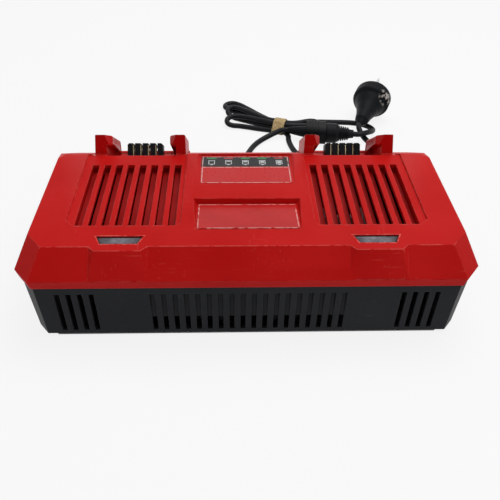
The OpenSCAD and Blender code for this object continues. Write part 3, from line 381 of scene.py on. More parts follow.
soft_lamp("top_lamp", (0.3, 0.25, 1.3), (0, 0.02, 0), (1.4, 1.0), 12.5)
soft_lamp("left_lamp", (-1.2, -0.3, 0.8), (0, 0, 0.04), (0.8, 0.8), 0.3)
soft_lamp("front_lamp", (0.7, -1.2, 0.8), (0, 0, 0.04), (0.9, 0.7), 1.3)
bpy.context.scene.view_settings.view_transform = "Standard"

# %% [markdown]
# ## Shared effects
# Four effects come back on many surfaces, so each is a node group that is built once:
# moulded grain is the fine spark-eroded texture of a plastic mould, soft edges lets the light roll
# round corners that are sharp in the mesh and says where they are, dust lies thinly on what faces
# up, and rubs are short scratches from years on a workbench.

# %% Moulded grain
grain_group, grain_in, grain_out = new_group(
    "moulded_grain", {"Size": 900.0, "Patch": 14.0}, {"Height": "Float", "Mottle": "Float"}
)
where = object_place(grain_group)
fine = grains(grain_group, where, grain_in.outputs["Size"])
pits = add(grain_group, "TexVoronoi", {"Vector": where, "Scale": grain_in.outputs["Size"]})
rough_pits = sums(grain_group, "MULTIPLY", pits.outputs["Distance"], 0.5)
height = sums(grain_group, "ADD", fine, rough_pits)
feed(grain_group, height, grain_out.inputs["Height"])
mottle = noisy(grain_group, where, grain_in.outputs["Patch"], 5.0, 0.35, 0.65)
feed(grain_group, mottle, grain_out.inputs["Mottle"])
print("moulded grain has", len(grain_group.nodes), "nodes")

# %% Soft edges
edge_group, edge_in, edge_out = new_group(
    "soft_edges", {"Width": 0.0006}, {"Normal": "Vector", "Edge": "Float"}
)
rolled = add(edge_group, "Bevel", {"Radius": edge_in.outputs["Width"]}, samples=6)
facing = add(edge_group, "NewGeometry").outputs["Normal"]
sides = {0: rolled.outputs[0], 1: facing}
agree = add(edge_group, "VectorMath", sides, operation="DOT_PRODUCT")
away = sums(edge_group, "SUBTRACT", 1.0, agree.outputs["Value"])
broken = noisy(edge_group, object_place(edge_group), 160.0, 4.0, 0.38, 0.62)
edge_mask = all_of(edge_group, ranged(edge_group, away, 0.015, 0.16), broken)
feed(edge_group, edge_mask, edge_out.inputs["Edge"])
feed(edge_group, rolled.outputs[0], edge_out.inputs["Normal"])
print("soft edges has", len(edge_group.nodes), "nodes")

# %% Dust
DRIFT_SHARE, SPECK_SHARE = 0.6, 0.5
dust_group, dust_in, dust_out = new_group(
    "dust", {"Amount": 0.5, "Speck": 700.0}, {"Mask": "Float"}
)
dust_at = add(dust_group, "TexCoord").outputs
up_share = add(dust_group, "SeparateXYZ", {"Vector": dust_at["Normal"]}).outputs["Z"]
lying = ranged(dust_group, up_share, 0.2, 0.95)
drifts = noisy(dust_group, dust_at["Object"], 26.0, 6.0, 0.42, 0.68)
specks = noisy(dust_group, dust_at["Object"], dust_in.outputs["Speck"], 2.0, 0.6, 0.72)
specks = sums(dust_group, "MULTIPLY", specks, SPECK_SHARE)
film = sums(dust_group, "MULTIPLY_ADD", drifts, DRIFT_SHARE, specks)
dust_mask = all_of(dust_group, film, lying, dust_in.outputs["Amount"])
feed(dust_group, dust_mask, dust_out.inputs["Mask"])
print("dust has", len(dust_group.nodes), "nodes")

# %% Rubs
rub_group, rub_in, rub_out = new_group("rubs", {"Size": 60.0, "Amount": 0.5}, {"Mask": "Float"})
rub_at = object_place(rub_group)
marks = []
for stretch, swing in (((1.0, 22.0, 6.0), 0.5), ((16.0, 1.0, 5.0), -0.35)):
    laid = add(rub_group, "Mapping",
               {"Vector": rub_at, "Scale": stretch, "Rotation": (0.2, 0.1, swing)})
    marks.append(noisy(rub_group, laid.outputs[0], rub_in.outputs["Size"], 3.0, 0.66, 0.72))
rubbed_here = noisy(rub_group, rub_at, 18.0, 2.0, 0.5, 0.6)
rub_mask = all_of(rub_group, any_of(rub_group, *marks), rubbed_here, rub_in.outputs["Amount"])
feed(rub_group, rub_mask, rub_out.inputs["Mask"])
print("shared effects:", [g.name for g in bpy.data.node_groups])

# %% [markdown]
# ## Moulded plastic
# Nearly every outer piece is injection moulded, so one function makes the material and each
# plastic only says its own colours, gloss, grain and wear. A few large patches change the colour
# by a hair, edges are rubbed a little paler and smoother, dust greys what faces up, and rubs break
# the gloss. The grain goes into a Bump node, on top of the rolled edge. In each row the first
# colour is the plastic's own, the second is its deeper patches and the third is where it is worn.

# %% Moulded plastic
DUST_COLOUR, PATCH_SIZE, PLASTIC_IOR = (150, 146, 140), 14.0, 1.49
RUB_SHOW, PATCH_GLOSS, DUST_DULL, EDGE_GLOSS = 0.6, 0.06, 0.35, 0.1


def moulded(name, colour, deep, worn, gloss=0.42, grain=900.0, depth=0.00006, edge=0.0006,
            dust=0.2, rub=0.35, edge_show=0.5, mirror=0.2):
    finish, tree, shader = new_finish(name)
    texture = use(tree, grain_group, {"Size": grain, "Patch": PATCH_SIZE}).outputs
    corner = use(tree, edge_group, {"Width": edge}).outputs
    dusty = use(tree, dust_group, {"Amount": dust}).outputs["Mask"]
    rubbed = use(tree, rub_group, {"Amount": rub}).outputs["Mask"]
    paint = mixed(tree, texture["Mottle"], chart(*deep), chart(*colour))
    worn_share = sums(tree, "MULTIPLY", corner["Edge"], edge_show)
    paint = mixed(tree, worn_share, paint, chart(*worn))
    paint = mixed(tree, sums(tree, "MULTIPLY", rubbed, RUB_SHOW), paint, chart(*worn))
    shine = sums(tree, "MULTIPLY_ADD", texture["Mottle"], -PATCH_GLOSS, gloss + PATCH_GLOSS / 2)
    shine = sums(tree, "MULTIPLY_ADD", dusty, DUST_DULL, shine)
    height = sums(tree, "SUBTRACT", texture["Height"], rubbed)
    feed_all(tree, shader, {
        "Base Color": mixed(tree, dusty, paint, chart(*DUST_COLOUR)),
        "Roughness": sums(tree, "MULTIPLY_ADD", corner["Edge"], -EDGE_GLOSS, shine),
        "Normal": bumped(tree, 1.0, depth, height, Normal=corner["Normal"]),
        "IOR": PLASTIC_IOR,
        "Specular IOR Level": mirror,
    })
    finishes[name] = finish


finishes = {}
moulded("red_cover", (204, 24, 22), (194, 19, 17), (238, 128, 118),
        edge=0.001, dust=0.015, rub=0.25, edge_show=0.4, mirror=0.06)
moulded("red_rail", (206, 22, 20), (194, 18, 16), (238, 128, 118), 0.36,
        dust=0.03, rub=0.6, edge_show=0.9)
moulded("red_comb", (176, 16, 16), (150, 12, 12), (200, 70, 64), 0.5, dust=0.05, mirror=0.1)
moulded("dark_base", (34, 36, 39), (28, 30, 33), (84, 86, 90), 0.5,
        grain=1100, depth=0.00008, dust=0.04, mirror=0.1)
moulded("black_moulding", (24, 25, 27), (17, 18, 20), (90, 92, 96),
        dust=0.02, rub=0.2, edge_show=0.12, mirror=0.07)
moulded("plug_moulding", (23, 25, 29), (16, 18, 21), (120, 122, 126),
        dust=0.01, rub=0.2, edge_show=0.0, mirror=0.06)
moulded("rubber_foot", (26, 26, 27), (20, 20, 21), (70, 70, 72), 0.75,
        grain=1500, depth=0.0001, dust=0.35)
moulded("lead_jacket", (19, 21, 24), (13, 14, 17), (96, 99, 104), 0.4, grain=700,
        depth=0.00003, edge=0.0003, dust=0.01, rub=0.2, edge_show=0.0, mirror=0.14)
print("plastics:", sorted(finishes))

# %% [markdown]
# ## Painted shade in the vents and scuffs on the plug
# The upper part of each middle vent is blind: a plate closes it a little behind the wall, and shade
# falls in the corners on its two sides, so painted shade makes each a grey bar between two black
# lines. The plug has been dropped and pulled, and one side of its round head is scraped down to
# pale grey. Each is one more mask in front of the plastic's colour: the place in the repeating row
# of vents for the first, and a distance from one spot for the second. A separate material would do
# as well, but a mask keeps the grain and the gloss going across it. The corner lines start and end
# at a small distance inside each vent's edge, and the plate between them gets a little of the
# painted shade.

# %% Painted shade in the vents
VENT_PITCH, VENT_HALF, ROW_HALF = 0.0081, 0.00185, 0.0729
BLIND_LOW, BLIND_HIGH, NEAR_WALL = 0.0214, 0.0450, -0.085
LINE_START, LINE_FULL, PLATE_SHADE = 0.0009, 0.0004, 0.35


def painted_over(finish_name, mask, colour):
    tree = finishes[finish_name].node_tree
    paint = tree.nodes["Principled BSDF"].inputs["Base Color"]
    feed(tree, mixed(tree, mask, paint.links[0].from_socket, chart(*colour)), paint)


tree = finishes["dark_base"].node_tree
spot = add(tree, "SeparateXYZ", {"Vector": object_place(tree)}).outputs
step = sums(tree, "FRACT", sums(tree, "MULTIPLY", spot["X"], 1 / VENT_PITCH))
off_vent = sums(tree, "ABSOLUTE", sums(tree, "SUBTRACT", step, 0.5))
off_vent = sums(tree, "MULTIPLY", off_vent, VENT_PITCH)
# Painted shade: black lines in the two shaded corners of each blind vent, and a little of it on the
# plate between them.
painted_shade = all_of(
    tree,
    ranged(tree, off_vent, VENT_HALF - LINE_START, VENT_HALF - LINE_FULL, PLATE_SHADE, 1.0),
    sums(tree, "LESS_THAN", off_vent, VENT_HALF),
    sums(tree, "LESS_THAN", sums(tree, "ABSOLUTE", spot["X"]), ROW_HALF),
    sums(tree, "LESS_THAN", spot["Y"], NEAR_WALL),
    sums(tree, "GREATER_THAN", spot["Z"], BLIND_LOW),
    sums(tree, "LESS_THAN", spot["Z"], BLIND_HIGH),
)
painted_over("dark_base", painted_shade, (6, 7, 8))
print("vents in the dirty row:", round(2 * ROW_HALF / VENT_PITCH))

# %% Scrape on the plug
SCRAPE_AT, SCRAPE_REACH, SCRAPE_CORE = (0.169, 0.2615, 0.0315), 0.0115, 0.0065
tree = finishes["plug_moulding"].node_tree
place = object_place(tree)
from_scrape = add(tree, "VectorMath", {0: place, 1: SCRAPE_AT}, operation="DISTANCE")
scraped = ranged(tree, from_scrape.outputs["Value"], SCRAPE_REACH, SCRAPE_CORE)
flakes = noisy(tree, place, 230.0, 5.0, 0.5, 0.56)
painted_over("plug_moulding", all_of(tree, scraped, flakes), (184, 176, 170))
print("scrape on the plug is", round(2 * SCRAPE_REACH, 3), "m wide")

# %% [markdown]
# ## Metals
# Stamped contacts, screws and plug pins are plated or blackened steel. Metal has no colour of its
# own under the gloss, so the work is in the roughness: fine drawn lines along the part, cloudy
# tarnish, and bright edges. The metallic value stays plain. The small glass fuse shows mostly its
# two metal caps, so it is dressed as a bright metal too.

# %% Metals
METAL_EDGE, DRAWN_SIZE, TARNISH_SHOW, BRIGHTER = 0.0003, 260.0, 0.55, 34


def metal(name, colour, tarnish, gloss=0.32, lines=(1.0, 30.0, 1.0)):
    finish, tree, shader = new_finish(name)
    place = object_place(tree)
    laid = add(tree, "Mapping", {"Vector": place, "Scale": lines}).outputs[0]
    drawn = grains(tree, laid, DRAWN_SIZE, 3.0)
    clouds = noisy(tree, place, 90.0, 5.0, 0.4, 0.65)
    corner = use(tree, edge_group, {"Width": METAL_EDGE}).outputs
    tarnished = sums(tree, "MULTIPLY", clouds, TARNISH_SHOW)
    paint = mixed(tree, tarnished, chart(*colour), chart(*tarnish))
    bright = tuple(min(255, step + BRIGHTER) for step in colour)
    shine = sums(tree, "MULTIPLY_ADD", clouds, 0.18, gloss)
    feed_all(tree, shader, {
        "Base Color": mixed(tree, corner["Edge"], paint, chart(*bright)),
        "Roughness": sums(tree, "MULTIPLY_ADD", drawn, 0.12, shine),
        "Normal": bumped(tree, 0.6, 0.00002, drawn, Normal=corner["Normal"]),
        "Metallic": 1.0,
    })
    finishes[name] = finish


plastics = set(finishes)
metal("plated_steel", (196, 198, 202), (140, 138, 134))
metal("black_steel", (70, 71, 74), (46, 45, 46), 0.42)
metal("spring_steel", (214, 200, 160), (150, 132, 96), 0.34, (30.0, 1.0, 1.0))
metal("extruded_aluminium", (198, 201, 205), (168, 170, 172), 0.36, (1.0, 1.0, 24.0))
metal("fuse_glass", (206, 206, 200), (160, 158, 150), 0.22)
print("metals:", sorted(set(finishes) - plastics))

# %% [markdown]
# ## Inside the case
# The inner pieces are seen only through the vents and in the open model, but each has its own
# finish. A circuit board is green lacquer over copper tracks, which are a regular pattern of
# straight runs, so two brick textures stand for them. A winding is a row of round wires, so a wave
# texture gives both its colour and its height. The other pieces are plain mouldings and sleeves.

# %% Circuit board
board, tree, shader = new_finish("circuit_board")
place = object_place(tree)
crossed = add(tree, "Mapping", {"Vector": place, "Rotation": (0, 0, math.pi / 2)}).outputs[0]
along_board = {"Vector": place, "Scale": 42.0, "Mortar Size": 0.03, "Brick Width": 0.9,
               "Row Height": 0.16}
over_board = {"Vector": crossed, "Scale": 33.0, "Mortar Size": 0.025, "Brick Width": 0.7,
              "Row Height": 0.2}
tracks = [add(tree, "TexBrick", laid).outputs["Fac"] for laid in (along_board, over_board)]
track_mask = any_of(tree, *tracks)
pads = add(tree, "TexVoronoi", {"Vector": place, "Scale": 210.0, "Randomness": 0.35})
pad_mask = sums(tree, "LESS_THAN", pads.outputs["Distance"], 0.17)
lacquer = mixed(tree, track_mask, chart(8, 42, 22), chart(18, 60, 32))
raised = sums(tree, "ADD", track_mask, pad_mask)
feed_all(tree, shader, {
    "Base Color": mixed(tree, pad_mask, lacquer, chart(190, 192, 190)),
    "Roughness": sums(tree, "MULTIPLY_ADD", pad_mask, 0.15, 0.3),
    "Normal": bumped(tree, 0.5, 0.00005, raised),
})
finishes["circuit_board"] = board
print("board finish has", len(tree.nodes), "nodes")

# %% Copper winding
WIRE_SCALE = 260.0
winding, tree, shader = new_finish("copper_winding")
wires = add(tree, "TexWave", {"Vector": object_place(tree), "Scale": WIRE_SCALE,
                              "Distortion": 0.6, "Detail": 1.0},
            wave_type="BANDS", bands_direction="Z").outputs["Fac"]
feed_all(tree, shader, {
    "Base Color": mixed(tree, wires, chart(110, 52, 26), chart(196, 112, 62)),
    "Roughness": sums(tree, "MULTIPLY_ADD", wires, -0.1, 0.4),
    "Normal": bumped(tree, 0.8, 0.0002, wires),
})
finishes["copper_winding"] = winding
print("winding finish has", len(tree.nodes), "nodes")

# %% Cores, sleeves and wires
moulded("ferrite", (62, 62, 66), (50, 50, 54), (110, 108, 106), 0.62, 1300, 0.0001)
moulded("shrink_sleeve", (40, 52, 92), (30, 40, 74), (120, 126, 150), 0.22, 1200, 0.00002)
moulded("yellow_film", (214, 172, 52), (196, 152, 40), (240, 220, 150), 0.28, 1200, 0.00002)
moulded("red_wire", (160, 30, 30), (130, 20, 22), (210, 110, 100), 0.36, 800, 0.00002, 0.0002)
moulded("blue_wire", (40, 70, 140), (30, 56, 116), (120, 140, 190), 0.36, 800, 0.00002, 0.0002)
print("finishes so far:", len(finishes))

# %% [markdown]
# ## Smoked status windows
# Each light sits behind a smoked, glossy window that is cloudy from handling. A clear window would
# show the empty case, so this one is nearly opaque: a violet grey with a paler middle, where the
# lamps behind it light up the haze, and a darker end. Both windows mirror each other, so the
# pattern reads the distance from the middle of the case.

# %% Smoked window
WINDOW_MIDDLE, GLOW_REACH, GLOW_CORE = 0.0906, 0.0165, 0.003
lens, tree, shader = new_finish("smoked_window")
where = object_place(tree)
hazy = noisy(tree, where, 160.0, 6.0, 0.35, 0.7)
spot = add(tree, "SeparateXYZ", {"Vector": where})
from_middle = sums(tree, "ABSOLUTE", spot.outputs["X"])
along_window = sums(tree, "ABSOLUTE", sums(tree, "SUBTRACT", from_middle, WINDOW_MIDDLE))
lamp_near = ranged(tree, along_window, GLOW_REACH, GLOW_CORE)
lit = sums(tree, "MULTIPLY", lamp_near, sums(tree, "MULTIPLY_ADD", hazy, 0.6, 0.4))
feed_all(tree, shader, {
    "Base Color": mixed(tree, lit, chart(44, 40, 46), chart(132, 128, 138)),
    "Roughness": sums(tree, "MULTIPLY_ADD", hazy, 0.2, 0.16),
    "Normal": use(tree, edge_group, {"Width": 0.0005}).outputs["Normal"],
    "Specular IOR Level": 0.3,
})
finishes["smoked_window"] = lens
print("window:", lens.name)

# %% [markdown]
# ## Printed films
# The status label is a thin printed film: a black strip with five small battery marks, each with a
# coloured dash for its lamp colour, beyond a red field with a pale frame. A print is flat, so it is
# drawn in the material. One helper says whether a point lies in a box, and every mark is made of
# such boxes; the five marks repeat by wrapping the sideways coordinate. All sizes in these cells
# are millimetres on the model.

# %% Helpers for print
def in_millimetres(tree):
    place = object_place(tree)
    scaled = add(tree, "VectorMath", {0: place, 3: 1 / MILLIMETRE}, operation="SCALE")
    axes = add(tree, "SeparateXYZ", {"Vector": scaled.outputs[0]})
    return axes.outputs["X"], axes.outputs["Y"], place


def within(tree, value, centre, half):
    off_centre = sums(tree, "ABSOLUTE", sums(tree, "SUBTRACT", value, centre))
    return sums(tree, "LESS_THAN", off_centre, half)


def in_box(tree, x, y, centre, half):
    return all_of(tree, within(tree, x, centre[0], half[0]), within(tree, y, centre[1], half[1]))


def outline(tree, x, y, centre, half, line):
    inner = in_box(tree, x, y, centre, (half[0] - line, half[1] - line))
    return sums(tree, "SUBTRACT", in_box(tree, x, y, centre, half), inner)


# %% Status label
LABEL_NEAR, LABEL_FAR, LABEL_HALF, STRIP_NEAR, STRIP_HALF = 0.5, 45.3, 36.0, 27.6, 35.25
MARK_PITCH, MARK_FIRST, MARK_Y, NUB_Y, DASH_Y = 14.1, 2.5, 35.4, 31.3, 42.6
CHARGE_TOP, CHARGE_STEP, FRAME_LINE = 37.6, 1.1, 0.8
film, tree, shader = new_finish("status_film")
x, y, place = in_millimetres(tree)
wear = grains(tree, place, 420.0, 4.0)
kept = ranged(tree, wear, 0.36, 0.5)
shifted = sums(tree, "MULTIPLY_ADD", x, 1 / MARK_PITCH, MARK_FIRST)
number = sums(tree, "FLOOR", shifted)
in_mark = sums(tree, "SUBTRACT", sums(tree, "FRACT", shifted), 0.5)
in_mark = sums(tree, "MULTIPLY", in_mark, MARK_PITCH)
strip = within(tree, y, (STRIP_NEAR + LABEL_FAR) / 2, (LABEL_FAR - STRIP_NEAR) / 2)
on_strip = all_of(tree, strip, within(tree, x, 0.0, STRIP_HALF))
print("marks stand", MARK_PITCH, "mm apart")

# %% [markdown]
# Each mark is a small battery: an outline with a nub at its near end, filled from its far end down
# to a level that moves from mark to mark, so the last one is the fullest. The dash beyond it is
# green or red, for the colour of its lamp. Boxes that are multiplied, and a maximum to join them,
# are all that it takes.

# %% Battery marks and dashes
case_line = outline(tree, in_mark, y, (0, MARK_Y), (2.7, 3.6), 0.7)
nub = in_box(tree, in_mark, y, (0, NUB_Y), (1.1, 0.7))
level = sums(tree, "MULTIPLY_ADD", number, -CHARGE_STEP, CHARGE_TOP)
cell = in_box(tree, in_mark, y, (0, MARK_Y), (1.6, 2.6))
charge = all_of(tree, cell, sums(tree, "GREATER_THAN", y, level))
marks = all_of(tree, any_of(tree, case_line, nub, charge), on_strip)
dash = all_of(tree, in_box(tree, in_mark, y, (0, DASH_Y), (3.8, 0.8)), on_strip)
is_red = any_of(tree, within(tree, number, 1.0, 0.5), within(tree, number, 4.0, 0.5))
dash_colour = mixed(tree, is_red, chart(60, 160, 80), chart(196, 60, 56))
print("label has", len(tree.nodes), "nodes so far")

# %% [markdown]
# The pale frame and the line under the strip are printed too, and they are the first to wear away,
# so cloudy noise breaks them up. Then the colours are laid on in the order in which they would be
# printed: field and strip, frame, marks, dashes, and a little dust over all of it.

# %% Frame and colours of the label
label_middle, label_half = (LABEL_NEAR + LABEL_FAR) / 2, (LABEL_FAR - LABEL_NEAR) / 2
frame_line = outline(tree, x, y, (0, label_middle), (LABEL_HALF, label_half), FRAME_LINE)
under_strip = in_box(tree, x, y, (0, STRIP_NEAR - 1.1), (LABEL_HALF, 0.45))
pale = all_of(tree, any_of(tree, frame_line, under_strip), kept)
print_colour = mixed(tree, strip, chart(200, 24, 24), chart(24, 24, 26))
print_colour = mixed(tree, pale, print_colour, chart(226, 176, 172))
print_colour = mixed(tree, marks, print_colour, chart(196, 198, 200))
print_colour = mixed(tree, dash, print_colour, dash_colour)
film_dust = use(tree, dust_group, {"Amount": 0.08}).outputs["Mask"]
feed_all(tree, shader, {
    "Base Color": mixed(tree, film_dust, print_colour, chart(*DUST_COLOUR)),
    "Roughness": sums(tree, "MULTIPLY_ADD", wear, 0.2, 0.2),
    "Specular IOR Level": 0.15,
})
finishes["status_film"] = film
print("label is", 2 * LABEL_HALF, "by", round(LABEL_FAR - LABEL_NEAR, 1), "mm")

# %% [markdown]
# The badge plate is left bare: a red plate with a pale worn line round its rim, and rubs across it.
# Its rim is drawn with the same outline helper, because the plate itself is already in the model.

# %% Badge plate
BADGE_MIDDLE, BADGE_HALVES = (0, -42.8), (36.9, 18.0)
badge, tree, shader = new_finish("bare_badge")
x, y, place = in_millimetres(tree)
scuff = grains(tree, place, 260.0, 6.0)
rim_wear = ranged(tree, scuff, 0.4, 0.55)
rim_line = outline(tree, x, y, BADGE_MIDDLE, BADGE_HALVES, FRAME_LINE)
cloud = noisy(tree, place, 30.0, 4.0, 0.35, 0.65)
field = mixed(tree, cloud, chart(186, 26, 26), chart(200, 34, 34))
field = mixed(tree, all_of(tree, rim_line, rim_wear), field, chart(232, 160, 154))
badge_rubs = use(tree, rub_group, {"Amount": 0.5, "Size": 40.0}).outputs["Mask"]
feed_all(tree, shader, {
    "Base Color": mixed(tree, badge_rubs, field, chart(224, 110, 104)),
    "Roughness": sums(tree, "MULTIPLY_ADD", scuff, 0.25, 0.2),
    "Normal": bumped(tree, 0.4, 0.00003, scuff),
    "Specular IOR Level": 0.15,
})
finishes["bare_badge"] = badge
print("printed films:", film.name, badge.name)

# %% [markdown]
# ## Crepe elastic
# The band round the hank is tan crepe, a woven tape over rubber threads: fine ribs run round the
# hank with the threads, and the colour is cloudy. Noise that is drawn out in two directions gives
# ribs that waver, where a wave texture would give even ones, and the same ribs give the relief.

# %% Crepe elastic
crepe, tree, shader = new_finish("crepe_elastic")
place = object_place(tree)
turned_in = add(tree, "Mapping", {"Vector": place, "Rotation": (0, 0, BAND_TURN),
                                  "Scale": (1.0, 0.2, 0.2)})
ribs = grains(tree, turned_in.outputs[0], 1500.0, 3.0)
cloudy = noisy(tree, place, 220.0, 4.0, 0.35, 0.65)
tan = mixed(tree, cloudy, chart(186, 158, 112), chart(214, 188, 140))
feed_all(tree, shader, {
    "Base Color": mixed(tree, ranged(tree, ribs, 0.35, 0.5), chart(140, 114, 76), tan),
    "Roughness": 0.8,
    "Normal": bumped(tree, 1.0, 0.0002, ribs),
    "Specular IOR Level": 0.2,
})
finishes["crepe_elastic"] = crepe
print("elastic:", crepe.name)

# %% [markdown]
# ## Painted highlight on the crease, and window frames
# Two pale lines stand out on the cover: the crease where the flat top breaks into the near slope,
# which is a painted highlight with some wear, and the worn edge of the opening round each status
# window. Just inside that edge the window is painted dark, as painted shade in the gap round it. A
# second use of the soft edges group finds the crease, kept to the height of the flat top. The
# outline of a window is a trapezium, so the distance from it comes from its four sides, in
# millimetres.

# %% Distance from a window's opening
WINDOW_X, WINDOW_Y, WINDOW_TAPER = 90.6, -73.7, 0.4167
WINDOW_HALF, WINDOW_DEPTH_HALF, END_LEAN = 14.45, 4.2, 0.92
CREASE_WIDTH, CREASE_SHOW, CREASE_FAR, CREASE_LOW = 0.001, 5.0, -78.7, 0.0783
RIM_MIDDLE, RIM_HALF, GAP_SHADE_START, GAP_SHADE_FULL = 0.75, 0.4, -1.3, -0.7


def past_window(tree, x, y):
    sideways = sums(tree, "SUBTRACT", sums(tree, "ABSOLUTE", x), WINDOW_X)
    depth = sums(tree, "SUBTRACT", y, WINDOW_Y)
    reach = sums(tree, "MULTIPLY_ADD", depth, WINDOW_TAPER, WINDOW_HALF)
    past_ends = sums(tree, "SUBTRACT", sums(tree, "ABSOLUTE", sideways), reach)
    past_sides = sums(tree, "SUBTRACT", sums(tree, "ABSOLUTE", depth), WINDOW_DEPTH_HALF)
    return any_of(tree, sums(tree, "MULTIPLY", past_ends, END_LEAN), past_sides)


# %% Creases and frames
tree = finishes["red_cover"].node_tree
x, y, place = in_millimetres(tree)
height = add(tree, "SeparateXYZ", {"Vector": place}).outputs["Z"]
edges = use(tree, edge_group, {"Width": CREASE_WIDTH}).outputs["Edge"]
crease = sums(tree, "MULTIPLY", edges, CREASE_SHOW)
crease = all_of(tree, crease, sums(tree, "LESS_THAN", y, CREASE_FAR))
rim = within(tree, past_window(tree, x, y), RIM_MIDDLE, RIM_HALF)
rim = all_of(tree, rim, noisy(tree, place, 330.0, 4.0, 0.43, 0.6))
on_top = sums(tree, "GREATER_THAN", height, CREASE_LOW)
# The crease line is a painted highlight with some wear, and the rim round each window is wear.
painted_over("red_cover", all_of(tree, any_of(tree, crease, rim), on_top), (236, 106, 98))
tree = finishes["smoked_window"].node_tree
x, y, place = in_millimetres(tree)
# Painted shade: the window's outer edge is darkened as the shaded gap between window and cover.
gap_shade = ranged(tree, past_window(tree, x, y), GAP_SHADE_START, GAP_SHADE_FULL)
painted_over("smoked_window", gap_shade, (16, 12, 14))
# Of these lines, the window's is painted shade and the crease line is a painted highlight with
# wear.
print("worn lines on", ["red_cover", "smoked_window"])

# %% [markdown]
# ## Give each piece its finish
# One table says which finish goes on which piece, so a change of finish is one word. The script
# checks that no piece is left without one. A few of these pieces are made again below, and the
# new ones get their finish there.

# %% Table of finishes
worn_by = {
    "red_cover": ["top_cover"],
    "red_rail": ["bay_tray_left", "bay_tray_right"],
    "red_comb": ["grille_comb_left", "grille_comb_right"],
    "dark_base": ["base_shell"],
    "black_moulding": ["terminal_block_left", "terminal_block_right", "strain_relief", "lead_clamp",
                       "power_transistors", "bridge_rectifier", "fan_frame", "fan_rotor",
                       "coupler_socket", "coupler_plug", "coupler_boot"],
    "plug_moulding": ["plug_body"],
    "spring_steel": ["contact_blades_left", "contact_blades_right"],
    "smoked_window": ["status_lens_left", "status_lens_right"],
    "circuit_board": ["main_board", "lamp_board_left", "lamp_board_right"],
    "status_film": ["status_label"],
    "bare_badge": ["badge_plate"],
    "rubber_foot": ["rubber_feet"],
    "black_steel": ["case_screws"],
    "plated_steel": ["board_screws", "plug_pins"],
    "ferrite": ["transformer_core"],
    "copper_winding": ["transformer_winding", "filter_choke"],
    "extruded_aluminium": ["primary_heat_sink", "secondary_heat_sink"],
    "shrink_sleeve": ["bulk_capacitors", "output_capacitors"],
    "yellow_film": ["safety_capacitor"],
    "fuse_glass": ["mains_fuse"],
    "red_wire": ["output_leads_left", "output_leads_right"],
    "blue_wire": ["inlet_wires"],
    "lead_jacket": ["inner_lead", "charger_lead", "turn_lead", "plug_lead", "lead_hank"],
    "crepe_elastic": ["hank_tie"],
}


def dress(piece, finish):
    piece.data.materials.clear()
    piece.data.materials.append(finishes[finish])


for finish_name, pieces in worn_by.items():
    for piece_name in pieces:
        dress(nodes[piece_name], finish_name)
bare = sorted(set(nodes) - {n for pieces in worn_by.values() for n in pieces})
print("pieces without a finish:", bare)

# %% [markdown]
# ## The elastic band
# A wide band of crepe elastic holds the six runs of the hank. It lies tight on their outline, so a
# circle is the start: each of its points is pushed onto the outermost run in its own direction,
# which is just what a stretched band does. The ring is drawn along the hank in short steps, each
# wrap swells a little between its edges, and a solidify gives the band its thickness. Its sizes
# are written in millimetres, like the points of the leads.

# %% Ring on the outline of the hank
BAND_WIDTH, BAND_WALL, BAND_GAP = 12.5, 0.8, 0.08
BAND_POINTS, BAND_STEPS, WRAPS = 72, 24, 3
SWELL, CREASES, CREASE_SIZE, ON_BENCH, HANK_MIDDLE = 0.42, 0.16, 0.9, 2.2, 6
runs_held = [(-9, 4), (-3, 4), (3, 4), (9, 4), (-3.05, 10), (3.05, 10)]
wrap = bmesh.new()
bmesh.ops.create_circle(wrap, cap_ends=False, radius=1.0, segments=BAND_POINTS)
for knot in wrap.verts:
    way = knot.co.xy.normalized()
    run = max(runs_held, key=lambda held: held[0] * way.x + held[1] * way.y)
    on_run = Vector(run) + way * (LEAD_RADIUS / MILLIMETRE + BAND_GAP)
    knot.co = (band_at + across * on_run.x - along * BAND_WIDTH / 2) + Vector((0, 0, on_run.y))
rim_edges = list(wrap.edges)
for step in range(BAND_STEPS):
    grown = bmesh.ops.extrude_edge_only(wrap, edges=rim_edges)
    new_points = [item for item in grown["geom"] if isinstance(item, bmesh.types.BMVert)]
    rim_edges = [item for item in grown["geom"] if isinstance(item, bmesh.types.BMEdge)]
    bmesh.ops.translate(wrap, verts=new_points, vec=along * BAND_WIDTH / BAND_STEPS)
print("ring has", len(wrap.verts), "points")

# %% [markdown]
# The band goes round the hank more than once, so three ridges show side by side. Each point moves
# outwards by the height of its ridge, and a little noise keeps the ridges from looking machined.
# Points on the bench stay where they are, because the band lies flat there.

# %% Swell of each wrap, and the elastic's thickness
middle = band_at + Vector((0, 0, HANK_MIDDLE))
for knot in wrap.verts:
    share = (knot.co - band_at).dot(along) / BAND_WIDTH + 0.5
    swell = SWELL * math.sin(math.pi * ((share * WRAPS) % 1.0)) ** 0.5
    swell += CREASES * noise.noise(knot.co * CREASE_SIZE)
    outward = knot.co - middle
    outward -= along * outward.dot(along)
    if knot.co.z >= ON_BENCH:
        knot.co += outward.normalized() * max(swell, 0.0)
bmesh.ops.recalc_face_normals(wrap, faces=wrap.faces)
bmesh.ops.solidify(wrap, geom=wrap.faces[:], thickness=-BAND_WALL)
bmesh.ops.scale(wrap, vec=(MILLIMETRE, MILLIMETRE, MILLIMETRE), verts=wrap.verts)
bmesh.ops.recalc_face_normals(wrap, faces=wrap.faces)
for face in wrap.faces:
    face.smooth = True
band_mesh = bpy.data.meshes.new("elastic_band")
wrap.to_mesh(band_mesh)
wrap.free()
elastic_band = placed("elastic_band", band_mesh)
dress(elastic_band, "crepe_elastic")
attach(elastic_band, "root")
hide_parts("hank_tie")
band_heights = [point.co.z for point in band_mesh.vertices]
print("band lies from", round(min(band_heights), 5), "to", round(max(band_heights), 5))

